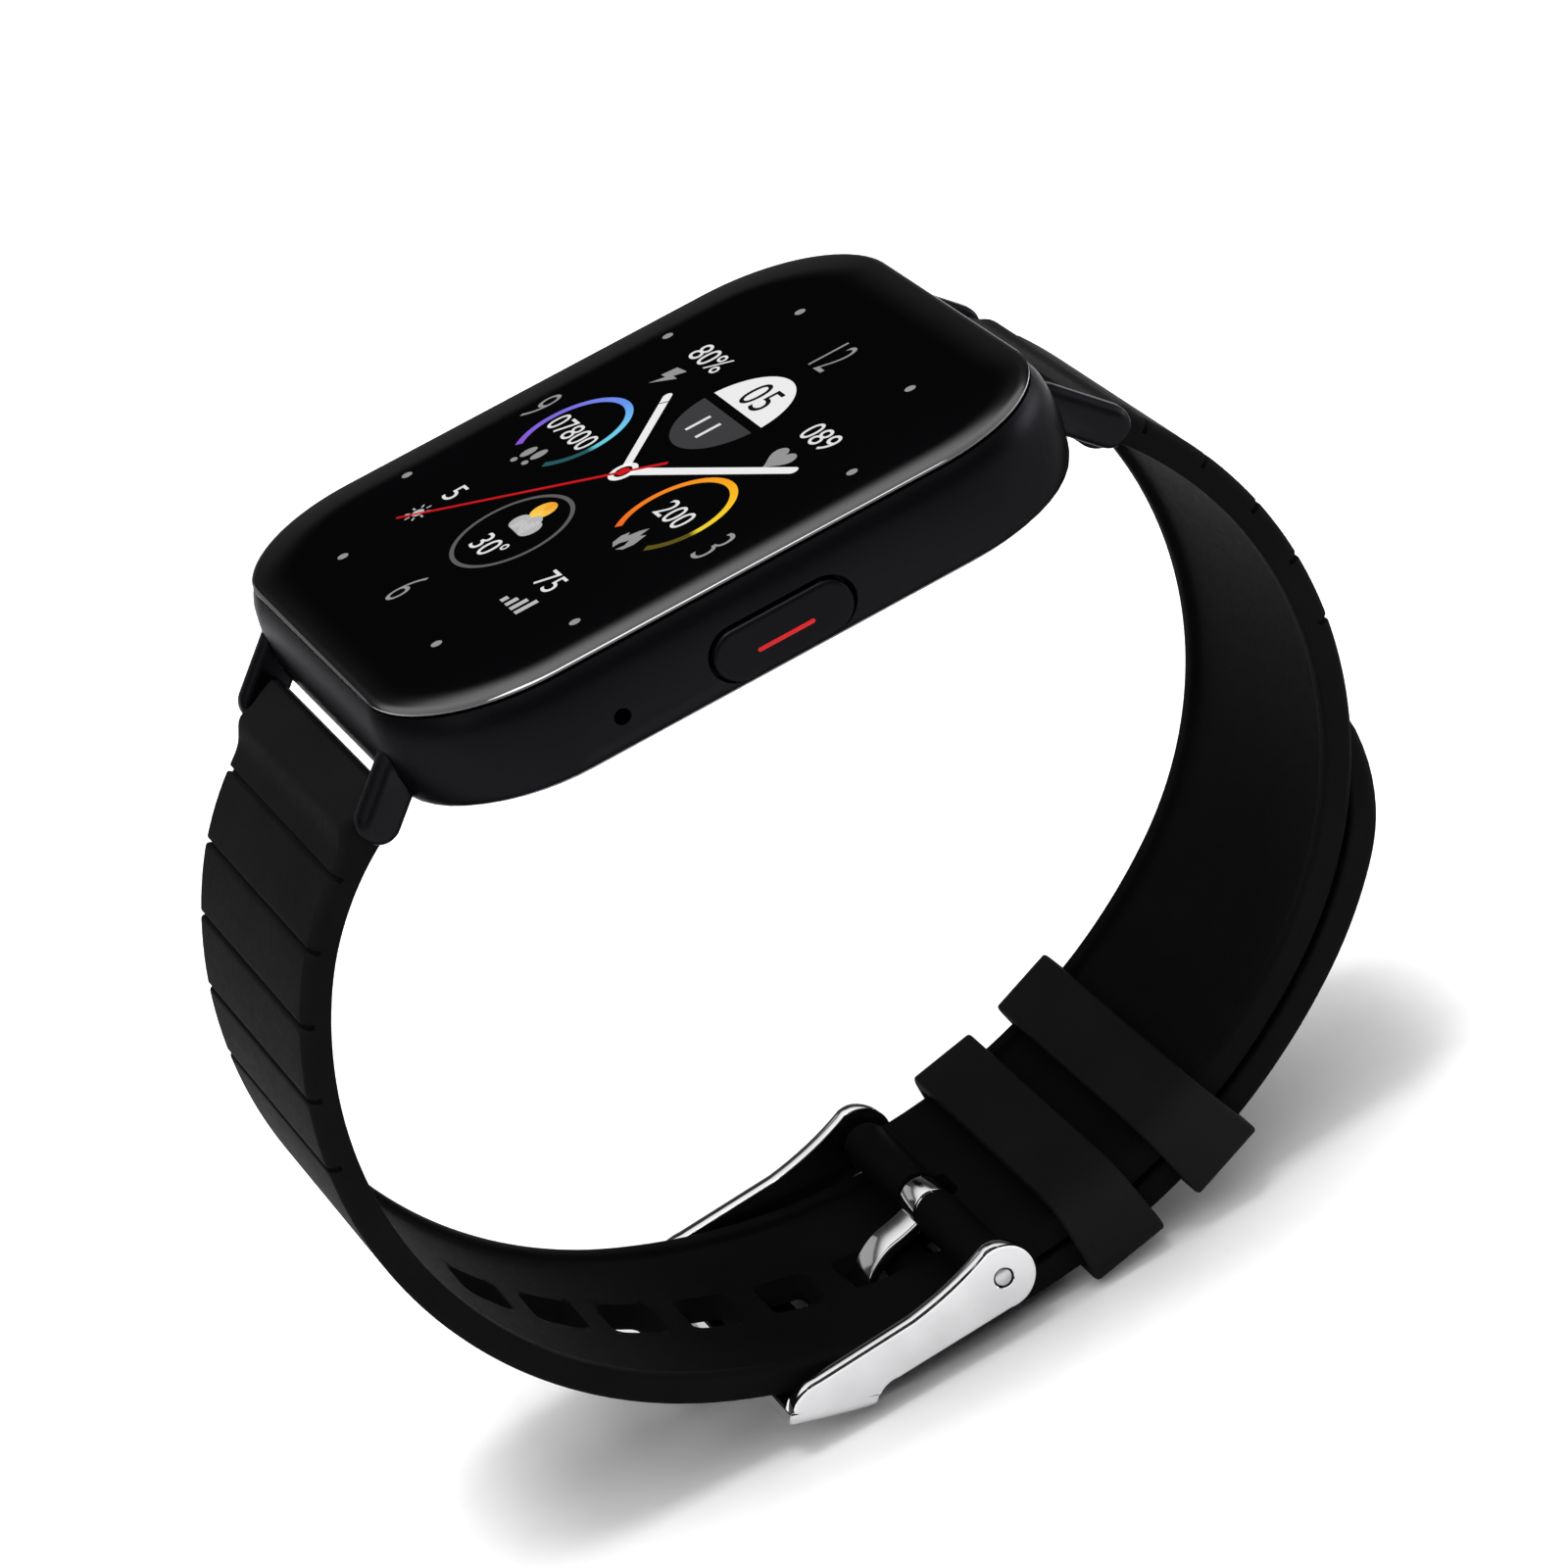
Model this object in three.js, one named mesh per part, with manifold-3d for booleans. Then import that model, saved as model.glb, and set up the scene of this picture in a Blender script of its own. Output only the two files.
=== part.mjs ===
// Rectangular smartwatch on a closed silicone band with a pin buckle.
// Millimetres. +X is the button side (3 o'clock), +Y is 12 o'clock, +Z points out of the display.
// The watch stands on the lowest part of its loop, and the origin is under it on that surface.
import * as THREE from 'three';
import { mergeVertices } from 'three/addons/utils/BufferGeometryUtils.js';
import Module from 'manifold-3d';

const wasm = await Module();
wasm.setup();

// ---------------------------------------------------------------- driving dimensions

const BAND_WIDTH = 22;            // the lug width that the whole watch is built around
const BAND_THICKNESS = 1.9;
const BAND_RECESS = 0.45;         // shallow dish of the band's inner face
const BAND_RIM = 1.1;             // flat rim left beside that dish
const BAND_GAP = 0.3;             // between the short strap and the long strap over it
const OUTER_CHAMFER = 0.6;
const INNER_CHAMFER = 0.3;

// The loop in the YZ plane: arcs that meet on a common tangent. Angles are counted
// from straight down, negative towards 6 o'clock and positive towards 12 o'clock.
const LOOP_RADIUS = 42.7;         // outside of the long strap at the bottom of the loop
const LOOP_CENTRE = { y: -1.95, z: -14.79 };
const BENDS_6 = [{ from: 26.2, radius: 27.92 }, { from: 117.7, radius: 20.8 }];
const BENDS_12 = [{ from: 40.1, radius: 28.86 }];

const CASE_MIDDLE = -0.3;         // the case's middle, a little towards 6 o'clock between the bars
const GLASS_HALF = { x: 20.2, y: 22.1, corner: 9.3 };
const GLASS_BOTTOM = -0.6;
// How far the glass is set in at each height of its curved edge; its top is at z = 0.
const GLASS_EDGE = [[GLASS_BOTTOM, 0], [-0.36, 0], [-0.24, 0.35], [-0.13, 1.1], [-0.04, 2.4], [0, 4.2]];
const DISPLAY_HALF = { x: 17.3, y: 19.3, corner: 6.7 };
const DISPLAY_THICKNESS = 1.2;
const ADHESIVE_HALF = { x: 19.6, y: 21.5, corner: 8.7 };
const ADHESIVE_WIDTH = 0.9;
const ADHESIVE_GAP = 0.05;        // above and below the adhesive
const CASE_HALF = { x: 20.9, y: 22.75, corner: 9.9 };
const CASE_TOP = -0.9;
const CASE_BOTTOM = -8.5;
const LUG_UNDERSIDE = -5.9;       // below this the lugs stand clear of the case
// How far the case's side is set in at each height, from the bottom up.
const CASE_SIDE = [
  [CASE_BOTTOM, 4.6], [-8.1, 3.5], [-7.5, 2.25], [-6.8, 1.2], [LUG_UNDERSIDE, 0.5],
  [-4.6, 0.05], [-3.4, 0], [-2, 0.15], [-1.2, 0.4], [CASE_TOP, 0.6],
];
const CAVITY_HALF = { x: 17.6, y: 19.6, corner: 7 };
const CAVITY_BOTTOM = -7.45;
const REAR_OPENING = { x: 15.4, y: 17.2, corner: 6.4 };
const COVER_PROUD = 0.15;         // rear cover below the case
const COVER_EDGE = 0.3;           // bevel of its lower edge

const SENSOR_RADIUS = 8;          // window over the sensors on the back
// Heights and radii of the sensor window's dome.
const SENSOR_DOME = [
  [-8.2, 0], [-8.2, SENSOR_RADIUS], [-8.75, SENSOR_RADIUS],
  [-9.1, 7.2], [-9.35, 5.4], [-9.5, 3], [-9.55, 0],
];
const CONTACT = { x: 3, y: -13.6, radius: 0.9, post: 0.5, head: -7.2, shoulder: -7.5, tip: -8.85 };
const SENSOR_BOARD = { radius: 7.8, low: -7.4, high: -6.95 };
const CHIP = { middle: -7.7, height: 0.5 };
const SENSOR_LED = { x: 2.2, y: 2.2 };
const PHOTODIODE = { x: 1.8, y: 3, apart: 4 };
const MAIN_BOARD = { half: { x: 16.6, y: 18.6, corner: 5.8 }, low: -3, high: -2.3 };
const CELL_TOP = -3.3;            // underside of everything that hangs from the main board
const BATTERY = { half: { x: 11, y: 9.5, corner: 1.2 }, x: -4.6, y: -6.5, low: -6.8 };
const MOTOR = { radius: 3.9, x: 11, y: -12, low: -6.3 };
const SPEAKER = { half: { x: 5.2, y: 3.6, corner: 1.6 }, x: -7, y: 12, low: -6.5 };

const LUG_INNER = BAND_WIDTH / 2 + 0.2;
const LUG_OUTER = 13.1;
const LUG_RADIUS = 1.35;          // nose of a lug, and half the depth of its slab
const LUG_SLOPE = 45;             // degrees below level, from the case out to the nose
const LUG_ROOT = 5.5;             // from the nose's centre back into the case
const LUG_GAP = 0.15;             // between a lug and the case's end
const BAR = { y: 24.9, z: -7 };   // spring-bar axis, mirrored about the case's middle
const BAR_RADIUS = 0.85;
const TIP_RADIUS = 0.4;
const TIP_END = 12.1;             // how far out a tip reaches into its lug
const EYE_RADIUS = 1.8;
// The spring bar's pieces along X: the tube's half-length, the fixed tip's plug inside it, the
// release pin's plug with its finger peg, and the spring between the two plugs.
const BAR_TUBE = { half: 10.4, bore: 0.62 };
const FIXED_PLUG = { from: 7.6, to: 10.1, radius: 0.55 };
const RELEASE_PLUG = { from: -10, to: -6.8, radius: 0.55 };
const RELEASE_TRAVEL = 1;
const PEG = { x: -7.4, radius: 0.35, reach: 2.9 };
const BAR_SPRING = { from: -5.65, to: 7.5, turns: 7, radius: 0.42, wire: 0.09 };
const RELEASE_WINDOW = { along: 2.6, across: 1.6, depth: 5 };

const BUTTON = { y: 0.3, z: -4.65, length: 9.3, height: 3.4, back: 19.95, face: 21.1, rim: 0.25 };
const BUTTON_TRAVEL = 0.4;
const POCKET_FLOOR = 19.5;        // recess of the case's side that the button sits in
const POCKET_GAP = 0.2;           // all round the button
const STEM = { radius: 0.75, bore: 0.95, end: 16.35 };
const BUTTON_SEAL = { radius: 1.45, from: 17, to: 17.5 };
const BUTTON_CLIP = { radius: 1.3, from: 16.45, to: 16.75 };
const SWITCH = { x: 1.6, y: 4, z: 2.8 };
const INLAY = { length: 3.8, height: 0.5, depth: 0.35, lower: 0.25 };
const MIC = { y: -10.4, z: -4.6, radius: 0.5 };
const MIC_BODY = { x: 1.1, y: 3, z: 2.2, middle: 16.6 };

const PIN_DEPTH = 3.55;           // buckle pin below the long strap's outer face
const PIN_RADIUS = 0.6;
const PIN_FIT = { silicone: 0.06, metal: 0.08 };
const BARREL_RADIUS = 1.5;
const PLATE_INNER = 11.7;
const PLATE_OUTER = 12.9;
const PLATE_END_RADIUS = 2.2;
// The frame's bar, outside the long strap: its loop angles and its depths.
const CROSSBAR_ANGLES = { near: -13.6, far: -21.3 };
const CROSSBAR_DEPTHS = { inner: -0.3, outer: -1.5 };
// The side plate beyond the pin, as [loop angle, depth]: where its blade ends, and then the
// control point and the end of each curve round the far and the near edge of the bar.
const PLATE_SHOULDER = [-18.6, 1.45];
const PLATE_FAR_CURVES = [
  [[-20.9, 0.95], [CROSSBAR_ANGLES.far, -0.8]],
  [[-21.4, CROSSBAR_DEPTHS.outer], [-20.5, CROSSBAR_DEPTHS.outer]],
];
const PLATE_SOLE = [-20.2, -14];  // loop angles of its lowest stretch
const PLATE_NEAR_CURVES = [
  [[CROSSBAR_ANGLES.near, -1.3], [-13.2, -0.7]],
  [[-12.8, 0.1], [-11.6, 0.15]],
];
const TONGUE_WIDTH = 2.7;
const TONGUE_THICKNESS = 0.75;
const TONGUE_STEPS = 22;
const TONGUE_TAPER = 0.1;         // share of its length over which the tip thins
// Middle of the tongue from the pin out through the hole, as [loop angle, depth].
const TONGUE_ROUTE = [[-1.4, 3.2], [-3.4, 2.75], [-5.4, 2.3], [-7.1, 1.35], [-8.35, 0], [-10.6, -1.1]];
// Its last stretch, on the bar: loop angle and lift off its seat.
const TONGUE_ON_BAR = [[-13.4, 0.06], [-17.4, 0.03]];
const REST = { depth: 0.45, margin: 0.3, length: 14, angle: -17.5 };
// The slot for the tongue between the short strap's barrels.
const NOTCH = { half: 1.6, length: 5, depth: 6, back: 0.5 };

const HOLE = { across: 4.4, along: 3.2, corner: 1.1, bevel: 0.35 };
const HOLE_IN_USE = -7.15;        // loop angle of the hole that the tongue goes through
const HOLE_PITCH = 5.4;
const HOLES_TO_CASE = 5;          // holes between the one in use and the case
const HOLES_TO_TIP = 4;           // holes between the one in use and the tip
const TAIL_TIP_ANGLE = 72;
const TAIL_TAPER = 9;             // length of the rounded tip
const TAIL_LEAST = 0.28;          // share of the width left at its very end
const TAIL_STEPS = [2.5, 1.5, 0.6, 0];  // degrees before the end, where the tip rounds off fastest
const STRAP_ENDS = { long: -149, short: 134 };
const RIDGE = { height: 0.45, reach: 5, long: -144.5, short: 131 };

const KEEPER = { span: 7.2, halfWidth: 12.6, outside: 1.2, inside: 5.5, corner: 1.2 };
const KEEPER_BORE = { span: 14.4, halfWidth: 11.25, outside: 0.2, inside: 4.35, corner: 0.3 };
const KEEPER_ANGLES = { lower: 10.9, upper: 21.8 };

const FIT = 0.1;                  // clearance round a fitted piece
const CORNER_STEPS = 6;
const ROUND_SIDES = 20;

// ---------------------------------------------------------------- materials

const GRAPHITE = { color: 0x46464c, roughness: 0.38, metalness: 0.6 };
const GRAPHITE_LUG = { color: 0x5a5a60, roughness: 0.42, metalness: 0.6 };
const GLASS = { color: 0x050506, roughness: 0.04, metalness: 0 };
const SILICONE = { color: 0x1c1c1e, roughness: 0.72, metalness: 0 };
const CHROME = { color: 0xd8d8da, roughness: 0.08, metalness: 1 };
const STEEL = { color: 0xa8a8ac, roughness: 0.3, metalness: 1 };
const PLASTIC = { color: 0x202023, roughness: 0.5, metalness: 0 };
const RED = { color: 0xa81c24, roughness: 0.4, metalness: 0 };
const GOLD = { color: 0xc8a24a, roughness: 0.3, metalness: 1 };
const BOARD = { color: 0x14402a, roughness: 0.6, metalness: 0 };
const FOIL = { color: 0x6c6e70, roughness: 0.45, metalness: 0.5 };

// ---------------------------------------------------------------- geometry helpers

const radians = THREE.MathUtils.degToRad;

/** Turns a solid's faces outwards if they point in. */
function facingOut(geometry) {
  const indexed = geometry.index ? geometry : mergeVertices(geometry);
  const position = indexed.attributes.position;
  const index = indexed.index.array;
  const [a, b, c] = [new THREE.Vector3(), new THREE.Vector3(), new THREE.Vector3()];
  let volume = 0;
  for (let i = 0; i < index.length; i += 3) {
    a.fromBufferAttribute(position, index[i]);
    b.fromBufferAttribute(position, index[i + 1]);
    c.fromBufferAttribute(position, index[i + 2]);
    volume += a.dot(b.cross(c));
  }
  if (volume < 0) {
    for (let i = 0; i < index.length; i += 3) {
      [index[i + 1], index[i + 2]] = [index[i + 2], index[i + 1]];
    }
  }
  return indexed;
}

/** Position-only copy with shared vertices, faces pointing out. */
function closed(geometry) {
  const bare = geometry.clone();
  bare.deleteAttribute('normal');
  bare.deleteAttribute('uv');
  return facingOut(mergeVertices(bare, 1e-4));
}

function toManifold(geometry) {
  const solid = closed(geometry);
  return new wasm.Manifold(new wasm.Mesh({
    numProp: 3,
    vertProperties: new Float32Array(solid.attributes.position.array),
    triVerts: new Uint32Array(solid.index.array),
  }));
}

function fromManifold(solid) {
  const mesh = solid.getMesh();
  const geometry = new THREE.BufferGeometry();
  geometry.setAttribute('position', new THREE.BufferAttribute(new Float32Array(mesh.vertProperties), 3));
  geometry.setIndex(Array.from(mesh.triVerts));
  return geometry;
}

const join = (...parts) => fromManifold(parts.map(toManifold).reduce((whole, part) => whole.add(part)));

const cut = (body, ...tools) => fromManifold(
  tools.map(toManifold).reduce((whole, tool) => whole.subtract(tool), toManifold(body)),
);

/** Closed body through rings of equally many points, with a fan over each end. */
function skin(rings) {
  const count = rings[0].length;
  const positions = rings.flat().flatMap((point) => point.toArray());
  const index = [];
  for (let ring = 0; ring < rings.length - 1; ring += 1) {
    for (let i = 0; i < count; i += 1) {
      const here = ring * count + i;
      const next = ring * count + ((i + 1) % count);
      index.push(here, next, next + count, here, next + count, here + count);
    }
  }
  [0, rings.length - 1].forEach((ring, end) => {
    const sum = rings[ring].reduce((total, point) => total.add(point), new THREE.Vector3());
    const hub = positions.length / 3;
    positions.push(...sum.divideScalar(count).toArray());
    for (let i = 0; i < count; i += 1) {
      const [from, to] = [ring * count + i, ring * count + ((i + 1) % count)];
      index.push(hub, ...(end === 0 ? [to, from] : [from, to]));
    }
  });
  const geometry = new THREE.BufferGeometry();
  geometry.setAttribute('position', new THREE.Float32BufferAttribute(positions, 3));
  geometry.setIndex(index);
  return facingOut(geometry);
}

/** Ring of a rectangle with round corners, level at height z. */
function rectangleRing({ x, y, corner, steps = CORNER_STEPS }, z, inset = 0) {
  const radius = corner - inset;
  const points = [];
  for (let quarter = 0; quarter < 4; quarter += 1) {
    const right = quarter === 0 || quarter === 3 ? 1 : -1;
    const up = quarter < 2 ? 1 : -1;
    for (let step = 0; step <= steps; step += 1) {
      const angle = (quarter + step / steps) * (Math.PI / 2);
      points.push(new THREE.Vector3(
        right * (x - corner) + radius * Math.cos(angle),
        up * (y - corner) + radius * Math.sin(angle),
        z,
      ));
    }
  }
  return points;
}

/** Body of a rounded rectangle whose edge is set in by the given amount at each height. */
const pillow = (outline, levels) => skin(levels.map(([z, inset]) => rectangleRing(outline, z, inset)));

const slab = (outline, low, high) => pillow(outline, [[low, 0], [high, 0]]);

function block(sizeX, sizeY, sizeZ, x, y, z) {
  return new THREE.BoxGeometry(sizeX, sizeY, sizeZ).translate(x, y, z);
}

/** Body of revolution about the X axis, from [x, radius] pairs. */
function turnedAlongX(profile, y = 0, z = 0, sides = ROUND_SIDES) {
  const points = profile.map(([x, radius]) => new THREE.Vector2(radius, x));
  return new THREE.LatheGeometry(points, sides).rotateZ(-Math.PI / 2).translate(0, y, z);
}

const rodAlongX = (radius, from, to, y, z, sides) => turnedAlongX(
  [[from, 0], [from, radius], [to, radius], [to, 0]], y, z, sides,
);

const ringAlongX = (inner, outer, from, to, y, z) => turnedAlongX(
  [[from, inner], [from, outer], [to, outer], [to, inner], [from, inner]], y, z,
);

/** Body of revolution about a vertical axis, from [z, radius] pairs. */
function turnedUpright(profile, x = 0, y = 0, sides = 2 * ROUND_SIDES) {
  const points = profile.map(([z, radius]) => new THREE.Vector2(radius, z));
  return new THREE.LatheGeometry(points, sides).rotateX(Math.PI / 2).translate(x, y, 0);
}

/** Extrudes an outline drawn in Y and Z from one X to another. */
function acrossBand(shape, from, to, curveSegments = 8) {
  const axes = new THREE.Matrix4().makeBasis(
    new THREE.Vector3(0, 1, 0),
    new THREE.Vector3(0, 0, 1),
    new THREE.Vector3(1, 0, 0),
  );
  return new THREE.ExtrudeGeometry(shape, { depth: to - from, bevelEnabled: false, curveSegments })
    .translate(0, 0, from)
    .applyMatrix4(axes);
}

/** Pill-shaped bar lying along Y, from one X to another. */
function pill(length, height, from, to, y, z) {
  const radius = height / 2;
  const reach = length / 2 - radius;
  const outline = new THREE.Shape()
    .absarc(y + reach, z, radius, -Math.PI / 2, Math.PI / 2)
    .absarc(y - reach, z, radius, Math.PI / 2, 1.5 * Math.PI);
  return acrossBand(outline, from, to);
}

// ---------------------------------------------------------------- the loop

/** Point of the loop at an angle, a depth inside the long strap's outer face, as (y, z). */
function loopPoint(angle, depth) {
  const side = angle < 0 ? -1 : 1;
  const turn = Math.abs(angle);
  const centre = { ...LOOP_CENTRE };
  let radius = LOOP_RADIUS;
  for (const bend of side < 0 ? BENDS_6 : BENDS_12) {
    if (turn > bend.from) {
      centre.y += side * (radius - bend.radius) * Math.sin(radians(bend.from));
      centre.z -= (radius - bend.radius) * Math.cos(radians(bend.from));
      radius = bend.radius;
    }
  }
  const reach = radius - depth;
  return new THREE.Vector2(
    centre.y + side * reach * Math.sin(radians(turn)),
    centre.z - reach * Math.cos(radians(turn)),
  );
}

function loopRadius(angle) {
  const bends = (angle < 0 ? BENDS_6 : BENDS_12).filter((bend) => Math.abs(angle) > bend.from);
  return bends.length ? bends[bends.length - 1].radius : LOOP_RADIUS;
}

/** Walks a length along the long strap's middle from one loop angle, and returns the new angle. */
function walkLoop(angle, length) {
  const step = Math.sign(length) * 0.1;
  let travelled = 0;
  let here = angle;
  while (travelled < Math.abs(length)) {
    travelled += radians(Math.abs(step)) * (loopRadius(here) - BAND_THICKNESS / 2);
    here += step;
  }
  return here;
}

/** Angles from one end to the other, closer together where the loop is tight. */
function anglesBetween(from, to, spacing = 3) {
  const bends = [...BENDS_6.map((bend) => -bend.from), ...BENDS_12.map((bend) => bend.from)];
  const stops = [from, ...bends.filter((bend) => bend > from && bend < to).sort((a, b) => a - b), to];
  const angles = [from];
  for (let i = 0; i < stops.length - 1; i += 1) {
    const arc = radians(stops[i + 1] - stops[i]) * loopRadius((stops[i] + stops[i + 1]) / 2);
    const steps = Math.max(1, Math.round(arc / spacing));
    for (let step = 1; step <= steps; step += 1) {
      angles.push(THREE.MathUtils.lerp(stops[i], stops[i + 1], step / steps));
    }
  }
  return angles;
}

/** Strap along the loop: its outer face at one depth, thickened outwards by a ridge near its eye. */
function strapBody(angles, outerDepth, halfWidthAt, ridgeAt) {
  const innerDepth = outerDepth + BAND_THICKNESS;
  return skin(angles.map((angle) => {
    const half = halfWidthAt(angle);
    const outer = outerDepth - ridgeAt(angle);
    const taper = half / (BAND_WIDTH / 2);
    const halfSection = [
      [half - OUTER_CHAMFER * taper, outer],
      [half, outer + OUTER_CHAMFER],
      [half, innerDepth - INNER_CHAMFER],
      [half - INNER_CHAMFER * taper, innerDepth],
      [half - BAND_RIM * taper, innerDepth],
      [half - (BAND_RIM + BAND_RECESS) * taper, innerDepth - BAND_RECESS],
    ];
    const section = [...halfSection, ...halfSection.slice().reverse().map(([x, depth]) => [-x, depth])];
    return section.map(([x, depth]) => {
      const point = loopPoint(angle, depth);
      return new THREE.Vector3(x, point.x, point.y);
    });
  }));
}

/** Places a tool that is modelled about the origin, its +Z pointing into the loop, on the band. */
function onBand(geometry, angle, depth) {
  const point = loopPoint(angle, depth);
  const inward = new THREE.Vector3(0, -Math.sin(radians(angle)), Math.cos(radians(angle)));
  const along = new THREE.Vector3(0, Math.cos(radians(angle)), Math.sin(radians(angle)));
  const axes = new THREE.Matrix4().makeBasis(new THREE.Vector3(1, 0, 0), along, inward);
  return geometry.applyMatrix4(axes.setPosition(0, point.x, point.y));
}

/** Adjustment hole with a bevelled mouth on the inner face. */
function adjustmentHole(angle) {
  const { across, along, corner, bevel } = HOLE;
  const outline = { x: across / 2 + bevel, y: along / 2 + bevel, corner: corner + bevel, steps: 3 };
  const mouth = BAND_THICKNESS - BAND_RECESS;
  const levels = [[-1, bevel], [mouth - bevel, bevel], [mouth, 0], [BAND_THICKNESS + 1, 0]];
  return onBand(pillow(outline, levels), angle, 0);
}

// ---------------------------------------------------------------- case

const watch = new THREE.Group();

function add(name, geometry, finish, parent = watch) {
  const mesh = new THREE.Mesh(closed(geometry), new THREE.MeshStandardMaterial(finish));
  mesh.name = name;
  parent.add(mesh);
  return mesh;
}

/** Adds a piece that is modelled about the case's middle. */
const addInCase = (name, geometry, finish) => add(name, geometry.translate(0, CASE_MIDDLE, 0), finish);

function buildGlass() {
  addInCase('cover_glass', pillow(GLASS_HALF, GLASS_EDGE), GLASS);
  const window = {
    x: ADHESIVE_HALF.x - ADHESIVE_WIDTH,
    y: ADHESIVE_HALF.y - ADHESIVE_WIDTH,
    corner: ADHESIVE_HALF.corner - ADHESIVE_WIDTH,
  };
  addInCase('display_adhesive', cut(
    slab(ADHESIVE_HALF, CASE_TOP + ADHESIVE_GAP, GLASS_BOTTOM - ADHESIVE_GAP),
    slab(window, CASE_TOP - 1, GLASS_BOTTOM + 1),
  ), PLASTIC);
  const displayTop = GLASS_BOTTOM - FIT;
  addInCase('display_panel', slab(DISPLAY_HALF, displayTop - DISPLAY_THICKNESS, displayTop), GLASS);
}

function buildFrame() {
  const outside = CASE_HALF.x + 2;
  const pocket = { length: BUTTON.length + 2 * POCKET_GAP, height: BUTTON.height + 2 * POCKET_GAP };
  addInCase('case_frame', cut(
    pillow(CASE_HALF, CASE_SIDE),
    slab(CAVITY_HALF, CAVITY_BOTTOM, 1),
    slab(REAR_OPENING, CASE_BOTTOM - 1, CAVITY_BOTTOM + 1),
    pill(pocket.length, pocket.height, POCKET_FLOOR, outside, BUTTON.y, BUTTON.z),
    rodAlongX(STEM.bore, CAVITY_HALF.x - 1, BUTTON.back, BUTTON.y, BUTTON.z),
    rodAlongX(MIC.radius, CAVITY_HALF.x - 1, outside, MIC.y, MIC.z),
  ), GRAPHITE);
}

/** One lug: a slab sloping down from the case's end to a round nose about the spring bar. */
function buildLug(name, side, end) {
  const slope = radians(LUG_SLOPE);
  const rootY = BAR.y - LUG_ROOT * Math.cos(slope);
  const rootZ = BAR.z + LUG_ROOT * Math.sin(slope);
  const across = { y: LUG_RADIUS * Math.sin(slope), z: LUG_RADIUS * Math.cos(slope) };
  const profile = new THREE.Shape()
    .moveTo(rootY - across.y, rootZ - across.z)
    .lineTo(BAR.y - across.y, BAR.z - across.z)
    .absarc(BAR.y, BAR.z, LUG_RADIUS, -slope - Math.PI / 2, slope)
    .lineTo(rootY + across.y, rootZ + across.z);
  const blank = acrossBand(profile, LUG_INNER, LUG_OUTER);
  const grown = { ...CASE_HALF, y: CASE_HALF.y + LUG_GAP };
  const abovePart = CASE_SIDE.filter(([z]) => z >= LUG_UNDERSIDE);
  const topInset = CASE_SIDE[CASE_SIDE.length - 1][1];
  const caseEnd = pillow(grown, [[2 * CASE_BOTTOM, abovePart[0][1]], ...abovePart, [0, topInset]])
    .translate(0, end * CASE_MIDDLE, 0);
  const tipHole = rodAlongX(TIP_RADIUS + FIT, LUG_INNER - 1, TIP_END + FIT, BAR.y, BAR.z);
  const lug = cut(blank, caseEnd, tipHole);
  lug.scale(side, end, 1);
  add(name, lug, GRAPHITE_LUG);
}

function buildRear() {
  const cover = {
    x: REAR_OPENING.x - FIT,
    y: REAR_OPENING.y - FIT,
    corner: REAR_OPENING.corner - FIT,
  };
  const coverTop = CAVITY_BOTTOM - FIT;
  const coverBottom = CASE_BOTTOM - COVER_PROUD;
  const bore = (radius, x = 0, y = 0, sides = 2 * ROUND_SIDES) => turnedUpright([
    [coverBottom - 1, 0], [coverBottom - 1, radius], [coverTop + 0.5, radius], [coverTop + 0.5, 0],
  ], x, y, sides);
  const contacts = [-CONTACT.x, CONTACT.x];
  addInCase('rear_cover', cut(
    pillow(cover, [[coverBottom, COVER_EDGE], [coverBottom + COVER_EDGE, 0], [coverTop, 0]]),
    bore(SENSOR_RADIUS + FIT),
    ...contacts.map((x) => bore(CONTACT.radius + FIT, x, CONTACT.y, ROUND_SIDES)),
  ), PLASTIC);
  addInCase('sensor_window', turnedUpright(SENSOR_DOME), GLASS);
  contacts.forEach((x, i) => addInCase(`charging_contact_${i + 1}`, turnedUpright([
    [CONTACT.head, 0], [CONTACT.head, CONTACT.post], [CONTACT.shoulder, CONTACT.post],
    [CONTACT.shoulder, CONTACT.radius], [CONTACT.tip, CONTACT.radius], [CONTACT.tip, 0],
  ], x, CONTACT.y, ROUND_SIDES), GOLD));
  const { radius, low, high } = SENSOR_BOARD;
  addInCase('sensor_board', turnedUpright([[low, 0], [low, radius], [high, radius], [high, 0]]), BOARD);
  const chip = (size, x) => block(size.x, size.y, CHIP.height, x, 0, CHIP.middle);
  addInCase('sensor_led', chip(SENSOR_LED, 0), GOLD);
  addInCase('photodiode_1', chip(PHOTODIODE, -PHOTODIODE.apart), PLASTIC);
  addInCase('photodiode_2', chip(PHOTODIODE, PHOTODIODE.apart), PLASTIC);
}

function buildElectronics() {
  addInCase('main_board', slab(MAIN_BOARD.half, MAIN_BOARD.low, MAIN_BOARD.high), BOARD);
  addInCase('battery', slab(BATTERY.half, BATTERY.low, CELL_TOP).translate(BATTERY.x, BATTERY.y, 0), FOIL);
  addInCase('haptic_motor', turnedUpright([
    [MOTOR.low, 0], [MOTOR.low, MOTOR.radius], [CELL_TOP, MOTOR.radius], [CELL_TOP, 0],
  ], MOTOR.x, MOTOR.y), STEEL);
  addInCase('speaker', slab(SPEAKER.half, SPEAKER.low, CELL_TOP).translate(SPEAKER.x, SPEAKER.y, 0), PLASTIC);
  addInCase('microphone', block(MIC_BODY.x, MIC_BODY.y, MIC_BODY.z, MIC_BODY.middle, MIC.y, MIC.z), STEEL);
}

// ---------------------------------------------------------------- side button

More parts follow.
